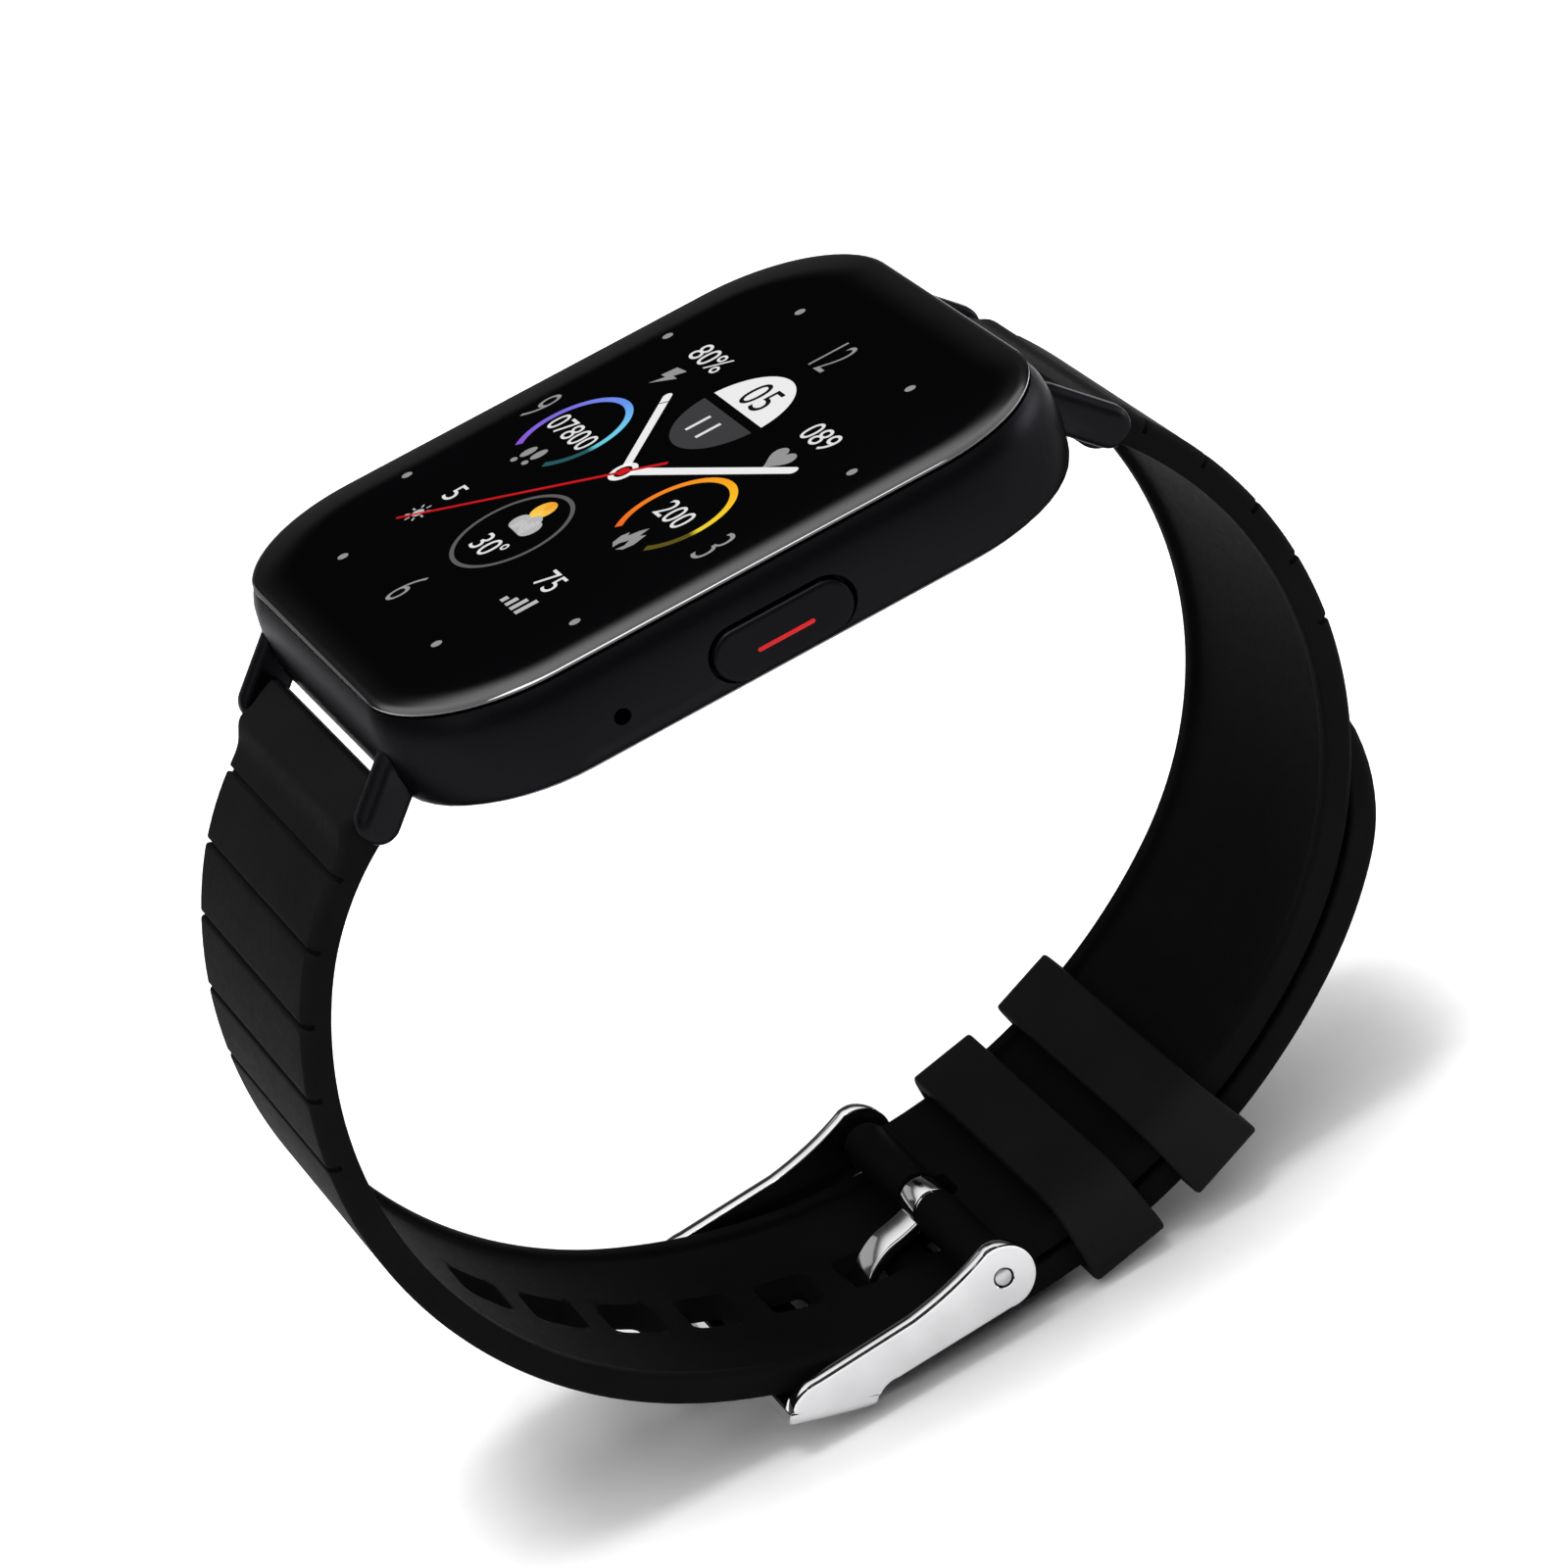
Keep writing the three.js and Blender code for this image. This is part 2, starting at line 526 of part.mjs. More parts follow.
function buildButton() {
  const { y, z, length, height, back, face, rim } = BUTTON;
  const cap = join(
    pill(length - FIT, height - FIT, back, face - rim, y, z),
    pill(length - 2 * rim, height - 2 * rim, back + FIT, face, y, z),
    rodAlongX(STEM.radius, STEM.end, back + 2 * FIT, y, z),
  );
  const lineHeight = z - INLAY.lower;
  const groove = face - INLAY.depth - FIT;
  addInCase('side_button', cut(
    cap,
    pill(INLAY.length + FIT, INLAY.height + FIT, groove, face + 1, y, lineHeight),
  ), GRAPHITE);
  const line = pill(INLAY.length, INLAY.height, face - INLAY.depth, face, y, lineHeight);
  addInCase('button_inlay', line, RED);
  const roundStem = ({ radius, from, to }) => ringAlongX(STEM.radius + FIT, radius, from, to, y, z);
  addInCase('button_seal', roundStem(BUTTON_SEAL), SILICONE);
  addInCase('button_clip', roundStem(BUTTON_CLIP), STEEL);
  const switchMiddle = STEM.end - BUTTON_TRAVEL - FIT - SWITCH.x / 2;
  addInCase('button_switch', block(SWITCH.x, SWITCH.y, SWITCH.z, switchMiddle, y, z), PLASTIC);
}

// ---------------------------------------------------------------- spring bars

/** Quick-release spring bar along X: one fixed tip, one tip that a finger peg draws in. */
function buildSpringBar(end, suffix) {
  const y = end * BAR.y;
  const slotWidth = 2 * (PEG.radius + FIT);
  const slot = block(
    slotWidth + RELEASE_TRAVEL, slotWidth, 2,
    PEG.x + RELEASE_TRAVEL / 2, y, BAR.z - 1,
  );
  const tube = ringAlongX(BAR_TUBE.bore, BAR_RADIUS, -BAR_TUBE.half, BAR_TUBE.half, y, BAR.z);
  add(`bar_tube_${suffix}`, cut(tube, slot), STEEL);
  add(`fixed_tip_${suffix}`, turnedAlongX([
    [FIXED_PLUG.from, 0], [FIXED_PLUG.from, FIXED_PLUG.radius],
    [FIXED_PLUG.to, FIXED_PLUG.radius], [FIXED_PLUG.to, TIP_RADIUS],
    [TIP_END, TIP_RADIUS], [TIP_END, 0],
  ], y, BAR.z), STEEL);
  const slider = turnedAlongX([
    [-TIP_END, 0], [-TIP_END, TIP_RADIUS],
    [RELEASE_PLUG.from, TIP_RADIUS], [RELEASE_PLUG.from, RELEASE_PLUG.radius],
    [RELEASE_PLUG.to, RELEASE_PLUG.radius], [RELEASE_PLUG.to, 0],
  ], y, BAR.z);
  const finger = new THREE.CylinderGeometry(PEG.radius, PEG.radius, PEG.reach, ROUND_SIDES / 2)
    .rotateX(Math.PI / 2)
    .translate(PEG.x, y, BAR.z - PEG.reach / 2);
  add(`release_pin_${suffix}`, join(slider, finger), STEEL);
  buildBarSpring(suffix, y);
}

/** Coil spring inside the bar, between the release pin's travel and the fixed tip. */
function buildBarSpring(suffix, y) {
  const { from, to, turns, radius, wire } = BAR_SPRING;
  const helix = new THREE.Curve();
  helix.getPoint = (t) => new THREE.Vector3(
    THREE.MathUtils.lerp(from + wire, to - wire, t),
    y + radius * Math.cos(turns * 2 * Math.PI * t),
    BAR.z + radius * Math.sin(turns * 2 * Math.PI * t),
  );
  const section = new THREE.Shape().absarc(0, 0, wire, 0, 2 * Math.PI);
  add(`bar_spring_${suffix}`, new THREE.ExtrudeGeometry(section, {
    steps: turns * 8,
    extrudePath: helix,
    curveSegments: 2,
    bevelEnabled: false,
  }), STEEL);
}

/** The window in the strap's eye that the finger peg of the spring bar travels in. */
function releaseWindow(end) {
  const { along, across, depth } = RELEASE_WINDOW;
  return block(along, across, depth, PEG.x + RELEASE_TRAVEL / 2, end * BAR.y, BAR.z - depth / 2);
}

// ---------------------------------------------------------------- straps

const ridgeNear = (peak) => (angle) => (
  RIDGE.height * Math.max(0, 1 - Math.abs(angle - peak) / RIDGE.reach)
);

function buildLongStrap() {
  const tip = TAIL_TIP_ANGLE;
  const tipLength = (angle) => radians(tip - angle) * BENDS_12[0].radius;
  const halfWidth = (angle) => {
    const short = Math.max(0, 1 - tipLength(angle) / TAIL_TAPER);
    return (BAND_WIDTH / 2) * Math.max(TAIL_LEAST, Math.sqrt(1 - short * short));
  };
  const angles = [
    ...anglesBetween(STRAP_ENDS.long, tip - TAIL_STEPS[0]),
    ...TAIL_STEPS.slice(1).map((back) => tip - back),
  ];
  const eye = rodAlongX(EYE_RADIUS, -BAND_WIDTH / 2, BAND_WIDTH / 2, -BAR.y, BAR.z);
  const bore = rodAlongX(BAR_RADIUS + FIT, -BAND_WIDTH, BAND_WIDTH, -BAR.y, BAR.z);
  const holes = [];
  for (let i = -HOLES_TO_CASE; i <= HOLES_TO_TIP; i += 1) {
    holes.push(adjustmentHole(i === 0 ? HOLE_IN_USE : walkLoop(HOLE_IN_USE, i * HOLE_PITCH)));
  }
  add('long_strap', cut(
    join(strapBody(angles, 0, halfWidth, ridgeNear(RIDGE.long)), eye),
    bore,
    releaseWindow(-1),
    ...holes,
  ), SILICONE);
}

function pinCentre() {
  return loopPoint(0, PIN_DEPTH);
}

function buildShortStrap() {
  const outerDepth = BAND_THICKNESS + BAND_GAP;
  const halfWidth = () => BAND_WIDTH / 2;
  const pin = pinCentre();
  const eye = rodAlongX(EYE_RADIUS, -BAND_WIDTH / 2, BAND_WIDTH / 2, BAR.y, BAR.z);
  const barrel = rodAlongX(BARREL_RADIUS, -BAND_WIDTH / 2, BAND_WIDTH / 2, pin.x, pin.y);
  const blank = join(
    strapBody(anglesBetween(0, STRAP_ENDS.short), outerDepth, halfWidth, ridgeNear(RIDGE.short)),
    eye,
    barrel,
  );
  add('short_strap', cut(
    blank,
    rodAlongX(BAR_RADIUS + FIT, -BAND_WIDTH, BAND_WIDTH, BAR.y, BAR.z),
    releaseWindow(1),
    rodAlongX(PIN_RADIUS + PIN_FIT.silicone, -BAND_WIDTH, BAND_WIDTH, pin.x, pin.y),
    block(2 * NOTCH.half, NOTCH.length, NOTCH.depth, 0, pin.x - NOTCH.back, pin.y),
  ), SILICONE);
}

/** Section of a keeper's outside or bore at a loop angle: a rectangle with eased corners. */
function keeperSection({ halfWidth, outside, inside, corner }, angle) {
  const ease = 0.3 * corner;
  const half = [
    [halfWidth - corner, -outside],
    [halfWidth - ease, -outside + ease],
    [halfWidth, -outside + corner],
    [halfWidth, inside - corner],
    [halfWidth - ease, inside - ease],
    [halfWidth - corner, inside],
  ];
  return [...half, ...half.slice().reverse().map(([x, depth]) => [-x, depth])].map(([x, depth]) => {
    const point = loopPoint(angle, depth);
    return new THREE.Vector3(x, point.x, point.y);
  });
}

/** Keeper: a rubber ring round both straps, centred on a loop angle. */
function buildKeeper(name, middle) {
  const sweep = (form, count) => skin(Array.from({ length: count }, (_, i) => {
    const across = THREE.MathUtils.lerp(-form.span / 2, form.span / 2, i / (count - 1));
    return keeperSection(form, middle + across);
  }));
  add(name, cut(sweep(KEEPER, 5), sweep(KEEPER_BORE, 9)), SILICONE);
}

// ---------------------------------------------------------------- buckle

function buildBucklePin() {
  const pin = pinCentre();
  const reach = PLATE_OUTER - 0.1;
  add('buckle_pin', rodAlongX(PIN_RADIUS, -reach, reach, pin.x, pin.y), STEEL);
}

/** Adds a curve to an outline that follows the loop at one depth. */
function followLoop(outline, depth, from, to, steps = 6) {
  for (let i = 0; i <= steps; i += 1) {
    const point = loopPoint(THREE.MathUtils.lerp(from, to, i / steps), depth);
    outline.lineTo(point.x, point.y);
  }
  return outline;
}

/** Side plate: round about the pin, a blade along the straps, and a rounded end at the bar. */
function plateOutline() {
  const pin = pinCentre();
  const outline = new THREE.Shape()
    .moveTo(pin.x - 0.35, pin.y - PLATE_END_RADIUS)
    .absarc(pin.x, pin.y, PLATE_END_RADIUS, -Math.PI / 2 - 0.16, Math.PI / 2 + 0.18);
  const addCurve = ([control, end]) => {
    const [by, to] = [loopPoint(...control), loopPoint(...end)];
    outline.quadraticCurveTo(by.x, by.y, to.x, to.y);
  };
  const shoulder = loopPoint(...PLATE_SHOULDER);
  outline.lineTo(shoulder.x, shoulder.y);
  PLATE_FAR_CURVES.forEach(addCurve);
  followLoop(outline, CROSSBAR_DEPTHS.outer, ...PLATE_SOLE);
  PLATE_NEAR_CURVES.forEach(addCurve);
  return outline;
}

/** Frame: two side plates joined by a bar that runs across outside the long strap. */
function buildBuckleFrame() {
  const pin = pinCentre();
  const plate = plateOutline();
  const { near, far } = CROSSBAR_ANGLES;
  const corner = loopPoint(near, CROSSBAR_DEPTHS.outer);
  const cross = new THREE.Shape().moveTo(corner.x, corner.y);
  followLoop(cross, CROSSBAR_DEPTHS.outer, near, far);
  followLoop(cross, CROSSBAR_DEPTHS.inner, far, near);
  const barReach = PLATE_OUTER - 2 * FIT;
  add('buckle_frame', cut(
    join(
      acrossBand(plate, PLATE_INNER, PLATE_OUTER, 10),
      acrossBand(plate, -PLATE_OUTER, -PLATE_INNER, 10),
      acrossBand(cross, -barReach, barReach),
    ),
    rodAlongX(PIN_RADIUS + PIN_FIT.metal, -BAND_WIDTH, BAND_WIDTH, pin.x, pin.y),
    tongueRest(),
  ), CHROME);
}

/** Shallow seat for the tongue's tip across the outside of the frame's bar. */
function tongueRest() {
  const seat = new THREE.BoxGeometry(TONGUE_WIDTH + 2 * REST.margin, REST.length, 2);
  return onBand(seat.translate(0, 0, -1), REST.angle, CROSSBAR_DEPTHS.outer + REST.depth);
}

/** Tongue: a ring on the pin, and a shank that goes out through the hole and onto the bar. */
function buildTongue() {
  const pin = pinCentre();
  const onBar = CROSSBAR_DEPTHS.outer + REST.depth - FIT - TONGUE_THICKNESS / 2;
  const seated = TONGUE_ON_BAR.map(([angle, lift]) => [angle, onBar - lift]);
  const middle = new THREE.SplineCurve([...TONGUE_ROUTE, ...seated].map((at) => loopPoint(...at)));
  const edge = (side) => Array.from({ length: TONGUE_STEPS + 1 }, (_, i) => {
    const t = i / TONGUE_STEPS;
    const tangent = middle.getTangent(t);
    const thinned = Math.max(0, t - (1 - TONGUE_TAPER)) * 4;
    const half = side * (TONGUE_THICKNESS / 2) * (1 - thinned);
    return middle.getPoint(t).addScaledVector(new THREE.Vector2(-tangent.y, tangent.x), half);
  });
  const shank = new THREE.Shape([...edge(1), ...edge(-1).reverse()]);
  const half = TONGUE_WIDTH / 2;
  add('buckle_tongue', cut(
    join(acrossBand(shank, -half, half), rodAlongX(BARREL_RADIUS - 0.05, -half, half, pin.x, pin.y)),
    rodAlongX(PIN_RADIUS + PIN_FIT.metal, -half - 1, half + 1, pin.x, pin.y),
  ), CHROME);
}

// ---------------------------------------------------------------- assembly

buildGlass();
buildFrame();
for (const [clock, end] of [[6, -1], [12, 1]]) {
  buildLug(`lug_${clock}_button_side`, 1, end);
  buildLug(`lug_${clock}_far_side`, -1, end);
  buildSpringBar(end, clock);
}
buildRear();
buildElectronics();
buildButton();
buildLongStrap();
buildShortStrap();
buildKeeper('keeper_lower', KEEPER_ANGLES.lower);
buildKeeper('keeper_upper', KEEPER_ANGLES.upper);
buildBucklePin();
buildBuckleFrame();
buildTongue();

// Stands the loop's lowest point on z = 0, over the middle of the whole outline.
const extent = new THREE.Box3().setFromObject(watch);
const middle = extent.getCenter(new THREE.Vector3());
watch.position.set(-middle.x, -middle.y, -extent.min.z);

export default watch;
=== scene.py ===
"""Looks of a rectangular smartwatch on a closed silicone band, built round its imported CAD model.

Lengths below are millimetres in the watch's own frame: the origin is on the glass's level top,
midway between the spring bars, +X is the button side, +Y is 12 o'clock and +Z points out of the
display. A loop angle is in degrees from straight down, positive towards 12 o'clock, and a depth
is measured inwards from the long strap's outer face.
"""

import math

import bmesh
import bpy
from mathutils import Matrix, Vector


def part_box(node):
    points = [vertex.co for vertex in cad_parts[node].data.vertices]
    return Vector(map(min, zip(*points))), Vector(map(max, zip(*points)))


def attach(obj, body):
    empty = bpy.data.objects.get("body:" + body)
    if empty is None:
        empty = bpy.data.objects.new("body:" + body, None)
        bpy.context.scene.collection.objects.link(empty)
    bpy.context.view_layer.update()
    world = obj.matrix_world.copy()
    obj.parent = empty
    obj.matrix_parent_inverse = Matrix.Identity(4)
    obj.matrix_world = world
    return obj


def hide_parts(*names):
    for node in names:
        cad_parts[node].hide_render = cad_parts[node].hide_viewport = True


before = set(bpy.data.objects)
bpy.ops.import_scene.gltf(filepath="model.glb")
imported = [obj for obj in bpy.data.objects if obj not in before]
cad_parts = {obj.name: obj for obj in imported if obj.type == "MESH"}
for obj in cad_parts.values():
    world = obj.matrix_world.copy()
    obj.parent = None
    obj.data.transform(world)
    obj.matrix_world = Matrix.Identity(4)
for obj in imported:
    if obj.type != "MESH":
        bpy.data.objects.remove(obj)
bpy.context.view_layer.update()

MM = 0.001
CASE_MIDDLE = -0.3            # along Y
glass_low, glass_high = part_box("cover_glass")
ORIGIN = Vector((
    (glass_low.x + glass_high.x) / 2,
    (glass_low.y + glass_high.y) / 2 - CASE_MIDDLE * MM,
    glass_high.z,
))


def row(x, y, z):
    """A point of the watch's frame, in metres in the shared frame."""
    return ORIGIN + Vector((x, y, z)) * MM


# ---- dimensions

BAND_HALF = 11.0
BAND_THICKNESS = 1.9
BAND_GAP = 0.3                # between the long strap and the short one inside it
LOOP_RADIUS = 42.7
LOOP_CENTRE = (-1.95, -14.79)
BENDS_6 = ((26.2, 27.92), (117.7, 20.8))      # loop angle where a tighter arc begins, and its radius
BENDS_12 = ((40.1, 28.86),)

GLASS_HALF = (20.2, 22.1, 9.3)                # half width, half length and corner radius
GLASS_EDGE = 4.4              # how far in from its rim the glass curves down
GLASS_DROP = 0.36
GLASS_SINK = 0.02             # how far the glass stays under the CAD box
GLASS_BOTTOM = -0.6
DIAL_Y = -0.8                 # the dial's centre along Y
CASE_HALF = (20.9, 22.75, 9.9)
CASE_SIDE = (                 # height, and how far in from CASE_HALF
    (-8.5, 4.6), (-8.1, 3.5), (-7.6, 2.3), (-7.0, 1.12), (-6.4, 0.38),
    (-4.6, 0.02), (-3.4, 0.0), (-2.0, 0.15), (-1.2, 0.4), (-0.72, 0.66),
)
CAVITY_HALF = (17.6, 19.6, 7.0)
REAR_OPENING = (15.4, 17.2, 6.4)
PADS = {"x": (-3, 3), "y": CASE_MIDDLE - 13.6}

LUG_X = (11.2, 13.1)
LUG_RADIUS = 1.35
LUG_REACH = 4.6               # from the spring bar up to the lug's root
LUG_INNER_EDGE = ((0, 0.4), (0.1, 0.17), (0.25, 0.05), (0.45, 0))
LUG_OUTER_EDGE = ((-0.75, 0), (-0.5, 0.06), (-0.28, 0.2), (-0.1, 0.44), (0, 0.75))
BAR = (24.9, -7.0)
BAR_BORE = 0.95
BUTTON = {"y": 0.0, "z": -4.65, "length": 9.3, "height": 3.4}
MIC = (-10.7, -4.6)

EYE_RADIUS = 1.8              # of the eye that holds a spring bar
CREST_BEFORE_EYE = 1.27
PIN_DEPTH = 3.55
BARREL_RADIUS = 1.5
PLATE_X = (11.7, 12.9)
TONGUE_WIDTH = 2.7
TONGUE_THICK = 0.75
BAR_REACH = 1.5               # how far the buckle's bar stands out from the long strap's face
BAR_SEAT = 0.42               # depth of the tongue's seat in it
AXLE_HALF = 12.83
HOLE_IN_USE = -7.15
HOLE_PITCH = 5.4
HOLES_TO_CASE = 5
HOLES_TO_TIP = 4
GROOVES_6 = (-138.1, -125.0, -113.4, -103.5, -93.9)
GROOVES_12 = (128.9, 118.7, 108.5, 98.9, 88.8)
GROOVE_STATIONS = (-0.5, -0.3, -0.21, -0.12, 0, 0.12, 0.21, 0.3, 0.5)
TAIL_TIP = 72.0
KEEPERS = {"keeper_lower": ("lower_keeper", 10.9), "keeper_upper": ("upper_keeper", 21.8)}


# ---- the loop

def loop_arc(angle):
    """Centre (y, z) and radius of the arc that the loop follows at an angle from straight down."""
    side = -1 if angle < 0 else 1
    cy, cz = LOOP_CENTRE
    radius = LOOP_RADIUS
    for start, bend in (BENDS_6 if side < 0 else BENDS_12):
        if abs(angle) > start:
            cy += side * (radius - bend) * math.sin(math.radians(start))
            cz -= (radius - bend) * math.cos(math.radians(start))
            radius = bend
    return cy, cz, radius


def loop_point(angle, depth):
    """Point (y, z) at a loop angle, a depth inside the long strap's outer face."""
    cy, cz, radius = loop_arc(angle)
    reach = radius - depth
    return cy + reach * math.sin(math.radians(angle)), cz - reach * math.cos(math.radians(angle))


def on_loop(x, angle, depth):
    """The same point, a distance across the band, in metres in the shared frame."""
    return row(x, *loop_point(angle, depth))


def walk_loop(angle, length):
    """The angle reached after walking a length along the long strap's middle."""
    step = math.copysign(0.05, length)
    left = abs(length)
    while left > 0:
        left -= math.radians(abs(step)) * (loop_arc(angle)[2] - BAND_THICKNESS / 2)
        angle += step
    return angle


def polar_about(angle, point):
    """Angle and radius of a point (y, z) about the centre of the arc at a loop angle."""
    cy, cz, _ = loop_arc(angle)
    dy, dz = point[0] - cy, cz - point[1]
    return math.degrees(math.atan2(dy, dz)), math.hypot(dy, dz)


# ---- mesh helpers

def smoothstep(low, high, value):
    """0 before low, 1 after high and a soft rise between them."""
    t = min(1.0, max(0.0, (value - low) / (high - low)))
    return t * t * (3 - 2 * t)


def mix(a, b, t):
    """The number a share t of the way from a to b."""
    return a + (b - a) * t


def smooth_least(a, b, k):
    """Smaller of two numbers, blended where they are close."""
    h = max(k - abs(a - b), 0) / k
    return min(a, b) - h * h * k / 4


def spline(points, count):
    """Catmull-Rom curve through tuples, as count + 1 tuples evenly spread over the spans."""
    out = []
    last = len(points) - 1
    for i in range(count + 1):
        at = i / count * last
        k = min(int(at), last - 1)
        t = at - k
        p = [points[min(max(k + d, 0), last)] for d in (-1, 0, 1, 2)]
        out.append(tuple(
            b + 0.5 * t * (c - a + t * (2 * a - 5 * b + 4 * c - d + t * (3 * b - a - 3 * c + d)))
            for a, b, c, d in zip(*p)
        ))
    return out


def evened(points, spacing, whole=round):
    """A closed outline of tuples with points added on its long spans; whole rounds the number of steps."""
    out = []
    for i, a in enumerate(points):
        b = points[(i + 1) % len(points)]
        steps = max(1, whole(math.hypot(b[0] - a[0], b[1] - a[1]) / spacing))
        out += [tuple(mix(p, q, k / steps) for p, q in zip(a, b)) for k in range(steps)]
    return out


def rounded_rectangle(half_u, half_v, corner, steps):
    """Points (u, v) round a rectangle with round corners."""
    points = []
    for quarter, (side_u, side_v) in enumerate(((1, 1), (-1, 1), (-1, -1), (1, -1))):
        for step in range(steps + 1):
            angle = (quarter + step / steps) * math.pi / 2
            points.append((
                side_u * (half_u - corner) + corner * math.cos(angle),
                side_v * (half_v - corner) + corner * math.sin(angle),
            ))
    return points


def rounded_ring(half, inset, z, steps=12):
    """Level ring round the case's middle, set in from a half width, half length and corner radius."""
    outline = rounded_rectangle(*(size - inset for size in half), steps)
    return [row(x, CASE_MIDDLE + y, z) for x, y in outline]


def pill_ring(length, height, inset, x, y, z, steps):
    """Ring of a pill that lies along Y and faces +X."""
    radius = height / 2 - inset
    reach = length / 2 - height / 2
    points = []
    for end, first in ((1, -90), (-1, 90)):
        for step in range(steps + 1):
            angle = math.radians(first + 180 * step / steps)
            points.append(row(x, y + end * reach + radius * math.cos(angle), z + radius * math.sin(angle)))
    return points


def outline_ring(points, inset, x, mirror):
    """Ring at one X of a closed outline of (y, z) points, set in along its normals; mirror flips X and Y."""
    spans = list(zip(points[-1:] + points[:-1], points, points[1:] + points[:1]))
    inward = math.copysign(1, sum(a[0] * b[1] - b[0] * a[1] for _, a, b in spans))
    ring = []
    for before, (y, z), after in spans:
        dy, dz = after[0] - before[0], after[1] - before[1]
        shift = inward * inset / (math.hypot(dy, dz) or 1)
        ring.append(row(mirror[0] * x, mirror[1] * (y - shift * dz), z + shift * dy))
    return ring


def loft(rings, around=False):
    """bmesh of quads through rings of equally many points; around joins the last ring to the first."""
    bm = bmesh.new()
    rows = [[bm.verts.new(p) for p in ring] for ring in rings]
    count = len(rows[0])
    for a, b in zip(rows, rows[1:] + (rows[:1] if around else [])):
        for i in range(count):
            j = (i + 1) % count
            bm.faces.new((a[i], a[j], b[j], b[i]))
    if not around:
        bm.faces.new(rows[0][::-1])
        bm.faces.new(rows[-1])
    bmesh.ops.remove_doubles(bm, verts=bm.verts, dist=1e-7)
    bmesh.ops.recalc_face_normals(bm, faces=bm.faces)
    return bm


def revolve(profile, centre, axis, sides):
    """bmesh turned about an axis through centre, from (along, radius) pairs that close or end on the axis."""
    axis = Vector(axis)
    side = axis.orthogonal().normalized()
    other = axis.cross(side)
    bm = bmesh.new()
    rows = []
    for k in range(sides):
        angle = 2 * math.pi * k / sides
        out = side * math.cos(angle) + other * math.sin(angle)
        rows.append([bm.verts.new(centre + (axis * a + out * r) * MM) for a, r in profile])
    for a, b in zip(rows, rows[1:] + rows[:1]):
        for i in range(len(profile) - 1):
            bm.faces.new((a[i], a[i + 1], b[i + 1], b[i]))
    bmesh.ops.remove_doubles(bm, verts=bm.verts, dist=1e-7)
    bmesh.ops.recalc_face_normals(bm, faces=bm.faces)
    return bm


def rod(start, length, radius, sides, axis=(1, 0, 0)):
    """bmesh of a plain round rod from a point of the shared frame."""
    return revolve([(0, 0), (0, radius), (length, radius), (length, 0)], start, axis, sides)


def merged(*meshes):
    """One bmesh holding several."""
    whole = bmesh.new()
    for bm in meshes:
        data = bpy.data.meshes.new("part")
        bm.to_mesh(data)
        whole.from_mesh(data)
        bpy.data.meshes.remove(data)
        bm.free()
    return whole


def new_object(name, bm):
    """An object of a bmesh, linked into the scene."""
    data = bpy.data.meshes.new(name)
    bm.to_mesh(data)
    bm.free()
    obj = bpy.data.objects.new(name, data)
    bpy.context.scene.collection.objects.link(obj)
    return obj


def carve(obj, *tools):
    """Cuts each tool's shape out of an object and removes the tool."""
    for tool in tools:
        cutter = new_object("cutter", tool)
        step = obj.modifiers.new("cut", "BOOLEAN")
        step.operation = "DIFFERENCE"
        step.solver = "EXACT"
        step.object = cutter
        graph = bpy.context.evaluated_depsgraph_get()
        result = bpy.data.meshes.new_from_object(obj.evaluated_get(graph))
        obj.modifiers.clear()
        old = obj.data
        obj.data = result
        bpy.data.meshes.remove(old)
        bpy.data.objects.remove(cutter)


def shade(obj, sharp):
    """Smooth shading that keeps edges sharper than an angle."""
    bm = bmesh.new()
    bm.from_mesh(obj.data)
    for face in bm.faces:
        face.smooth = True
    for edge in bm.edges:
        edge.smooth = len(edge.link_faces) == 2 and edge.calc_face_angle(0) < math.radians(sharp)
    bm.to_mesh(obj.data)
    bm.free()


def finish(obj, body, material, replaces, sharp, weighted=True):
    """Shading and material, the CAD body that a piece rides and the CAD nodes that it replaces."""
    shade(obj, sharp)
    if weighted:
        step = obj.modifiers.new("normals", "WEIGHTED_NORMAL")
        step.keep_sharp = True
    obj.data.materials.clear()
    obj.data.materials.append(material)
    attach(obj, body)
    if replaces:
        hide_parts(*replaces)


def piece(name, bm, body, material, replaces=(), sharp=35):
    """A finished piece of a bmesh."""
    finish(new_object(name, bm), body, material, replaces, sharp, weighted=False)


# ---- materials

class Graph:
    """Short way to add nodes to a tree."""

    def __init__(self, tree):
        self.tree = tree

    def wire(self, socket, value):
        """Links a socket to another one, or sets its value."""
        if isinstance(value, bpy.types.NodeSocket):
            self.tree.links.new(value, socket)
        else:
            socket.default_value = value

    def add(self, kind, inputs=None, **settings):
        node = self.tree.nodes.new(kind)
        for key, value in settings.items():
            setattr(node, key, value)
        for key, value in (inputs or {}).items():
            self.wire(node.inputs[key], value)
        return node


